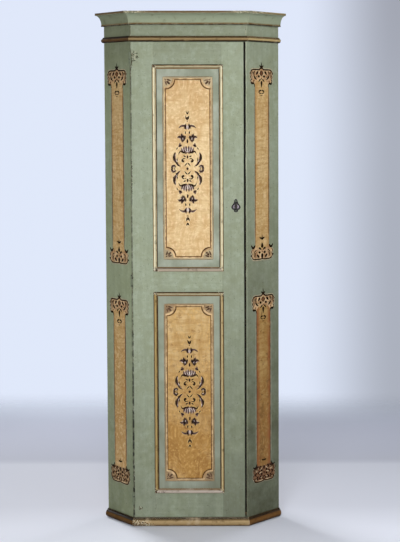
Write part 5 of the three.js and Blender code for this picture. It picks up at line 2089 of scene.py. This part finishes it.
@dataclass
class Studio:
    """A pale room with soft light, and the camera."""

    eye: Place = (0.4008, -4.885, 1.5972)
    yaw: float = 0.0054
    pitch: float = -0.0606
    roll: float = -0.0002
    focal: float = 1215.14
    picture: tuple[int, int] = (400, 542)
    shift_right: float = 100.0
    shift_down: float = -80.0
    sensor: float = 36.0
    floor_far: float = 2.16
    floor_fades: float = 1.35
    # Floor colour by depth: light just in front of the cupboard and darker in bands behind it and
    # far off, as painted light and shade.
    floor_tones: tuple[tuple[float, Colour], ...] = (
        (-9.0, (150, 154, 164)), (-3.4, (160, 164, 174)), (-2.1, (150, 154, 163)),
        (-1.2, (178, 182, 192)), (-0.66, (228, 232, 244)), (-0.6, (231, 235, 247)),
        (-0.26, (226, 230, 242)), (0.04, (208, 212, 224)), (0.655, (206, 210, 222)),
        (0.69, (186, 190, 204)), (1.25, (198, 203, 220)), (1.8, (214, 222, 240)),
        (2.16, (226, 233, 252)),
    )
    lamps: tuple[Lamp, ...] = (
        Lamp("key", (-0.1, -3.0, 1.45), (0.0, -0.1, 1.2), 1.3, 28.4, 120.0),
        Lamp("high_right", (1.9, -1.9, 2.6), (0.28, -0.16, 1.8), 0.6, 2.2, 60.0),
        Lamp("floor_front", (0.0, -2.3, 2.6), (0.0, -2.2, 0.0), 2.2, 14.0, 75.0),
        Lamp("floor_right", (1.7, -0.6, 2.4), (1.7, -0.6, 0.0), 1.6, 6.0, 90.0),
        Lamp("floor_far_left", (-4.6, 0.7, 2.8), (-4.6, 0.7, 0.0), 3.4, 24.0, 90.0),
        Lamp("floor_far_right", (4.6, 0.7, 2.8), (4.6, 0.7, 0.0), 3.4, 24.0, 90.0),
        Lamp("rear_left", (-2.4, 2.6, 2.2), (0.0, 0.1, 1.0), 1.4, 40.0, 90.0),
        Lamp("rear_right", (2.4, 2.6, 2.2), (0.0, 0.1, 1.0), 1.4, 14.0, 90.0),
    )

    def camera(self) -> None:
        """Places the camera where the picture was taken from."""
        forward = Vector((math.sin(self.yaw) * math.cos(self.pitch),
                          math.cos(self.yaw) * math.cos(self.pitch), math.sin(self.pitch)))
        level = forward.cross(UP).normalized()
        upright = level.cross(forward)
        right = level * math.cos(self.roll) + upright * math.sin(self.roll)
        up = upright * math.cos(self.roll) - level * math.sin(self.roll)
        turn = Matrix((right, up, -forward)).transposed().to_4x4()
        lens = bpy.data.cameras.new("camera")
        long_side = max(self.picture)
        lens.sensor_width = self.sensor
        lens.lens = self.focal * self.sensor / long_side
        lens.shift_x = -self.shift_right / long_side
        lens.shift_y = self.shift_down / long_side
        camera = bpy.data.objects.new("camera", lens)
        camera.matrix_world = Matrix.Translation(self.eye) @ turn
        bpy.context.scene.collection.objects.link(camera)
        bpy.context.scene.camera = camera

    def lights(self) -> None:
        """Hangs the soft boxes."""
        for lamp in self.lamps:
            light = bpy.data.lights.new(lamp.name, "AREA")
            light.shape = "DISK"
            light.size = lamp.size
            light.energy = lamp.watts
            light.spread = math.radians(lamp.spread)
            stand = bpy.data.objects.new(lamp.name, light)
            aim = Vector(lamp.aim) - Vector(lamp.place)
            stand.matrix_world = (Matrix.Translation(lamp.place)
                                  @ aim.to_track_quat("-Z", "Y").to_matrix().to_4x4())
            stand.visible_camera = False
            bpy.context.scene.collection.objects.link(stand)

    def floor(self) -> None:
        """Lays the pale floor, its light and shade painted in by depth."""
        mesh = bpy.data.meshes.new("floor")
        near, wide = -9.0, 9.0
        mesh.from_pydata([(-wide, near, 0), (wide, near, 0), (wide, self.floor_far, 0),
                          (-wide, self.floor_far, 0)], [], [(0, 1, 2, 3)])
        material = bpy.data.materials.new("floor_paper")
        material.use_nodes = True
        graph = Graph(material.node_tree)
        shader = material.node_tree.nodes["Principled BSDF"]
        place = graph.node("TexCoord").outputs["Object"]
        depth = graph.axes(place)[1]
        start, end = self.floor_tones[0][0], self.floor_tones[-1][0]
        share = graph.math("DIVIDE", graph.minus(depth, start), end - start)
        colour = graph.bands(share, [((at - start) / (end - start), tone)
                                     for at, tone in self.floor_tones])
        graph.feed(shader.inputs["Base Color"], colour)
        graph.feed(shader.inputs["Alpha"], graph.ramp(depth, self.floor_far - 0.02,
                                                      self.floor_fades))
        shader.inputs["Roughness"].default_value = 0.7
        shader.inputs["Specular IOR Level"].default_value = 0.2
        mesh.materials.append(material)
        floor = bpy.data.objects.new("floor", mesh)
        bpy.context.scene.collection.objects.link(floor)

    def room(self) -> None:
        """Sets the even light of the room, and the backdrop that the camera sees, with painted
        shade on its right.
        """
        world = bpy.data.worlds.new("room")
        bpy.context.scene.world = world
        world.use_nodes = True
        world.node_tree.nodes.clear()
        graph = Graph(world.node_tree)
        way = graph.node("TexCoord").outputs["Generated"]
        x, _, z = graph.axes(way)
        # Painted shade: the backdrop darkens to the right.
        side = graph.ramp(x, 0.0, 0.085)
        backdrop = graph.blend(side, (224, 232, 250), (163, 167, 179))
        lower = graph.ramp(z, 0.1, -0.02, 0.0, 0.12)
        backdrop = graph.blend(lower, backdrop, (224, 236, 252))
        seen = graph.node("Background", {"Color": backdrop, "Strength": 1.0})
        light = graph.node("Background", {"Color": (0.93, 0.96, 1.0, 1.0), "Strength": 0.05})
        rays = graph.node("LightPath").outputs
        shown = graph.larger(rays["Is Camera Ray"],
                             graph.larger(rays["Is Glossy Ray"], rays["Is Transmission Ray"]))
        mixed = graph.node("MixShader", {0: shown, 1: light.outputs[0], 2: seen.outputs[0]})
        graph.node("OutputWorld", {"Surface": mixed.outputs[0]})

    def build(self) -> None:
        """Sets up the camera, the lights, the floor and the room."""
        self.camera()
        self.lights()
        self.floor()
        self.room()
        bpy.context.scene.view_settings.view_transform = "Standard"


def main() -> None:
    """Loads the frame, finishes it, decorates it and lights it."""
    logging.basicConfig(level=logging.INFO, format="%(message)s")
    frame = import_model()
    Studio().build()
    paints = Paints()
    CupboardFinish(paints, frame["nodes"]).build()
    Decoration(paints).build()
    Fixings(paints, frame["nodes"]).build()


if __name__ == "__main__":
    main()
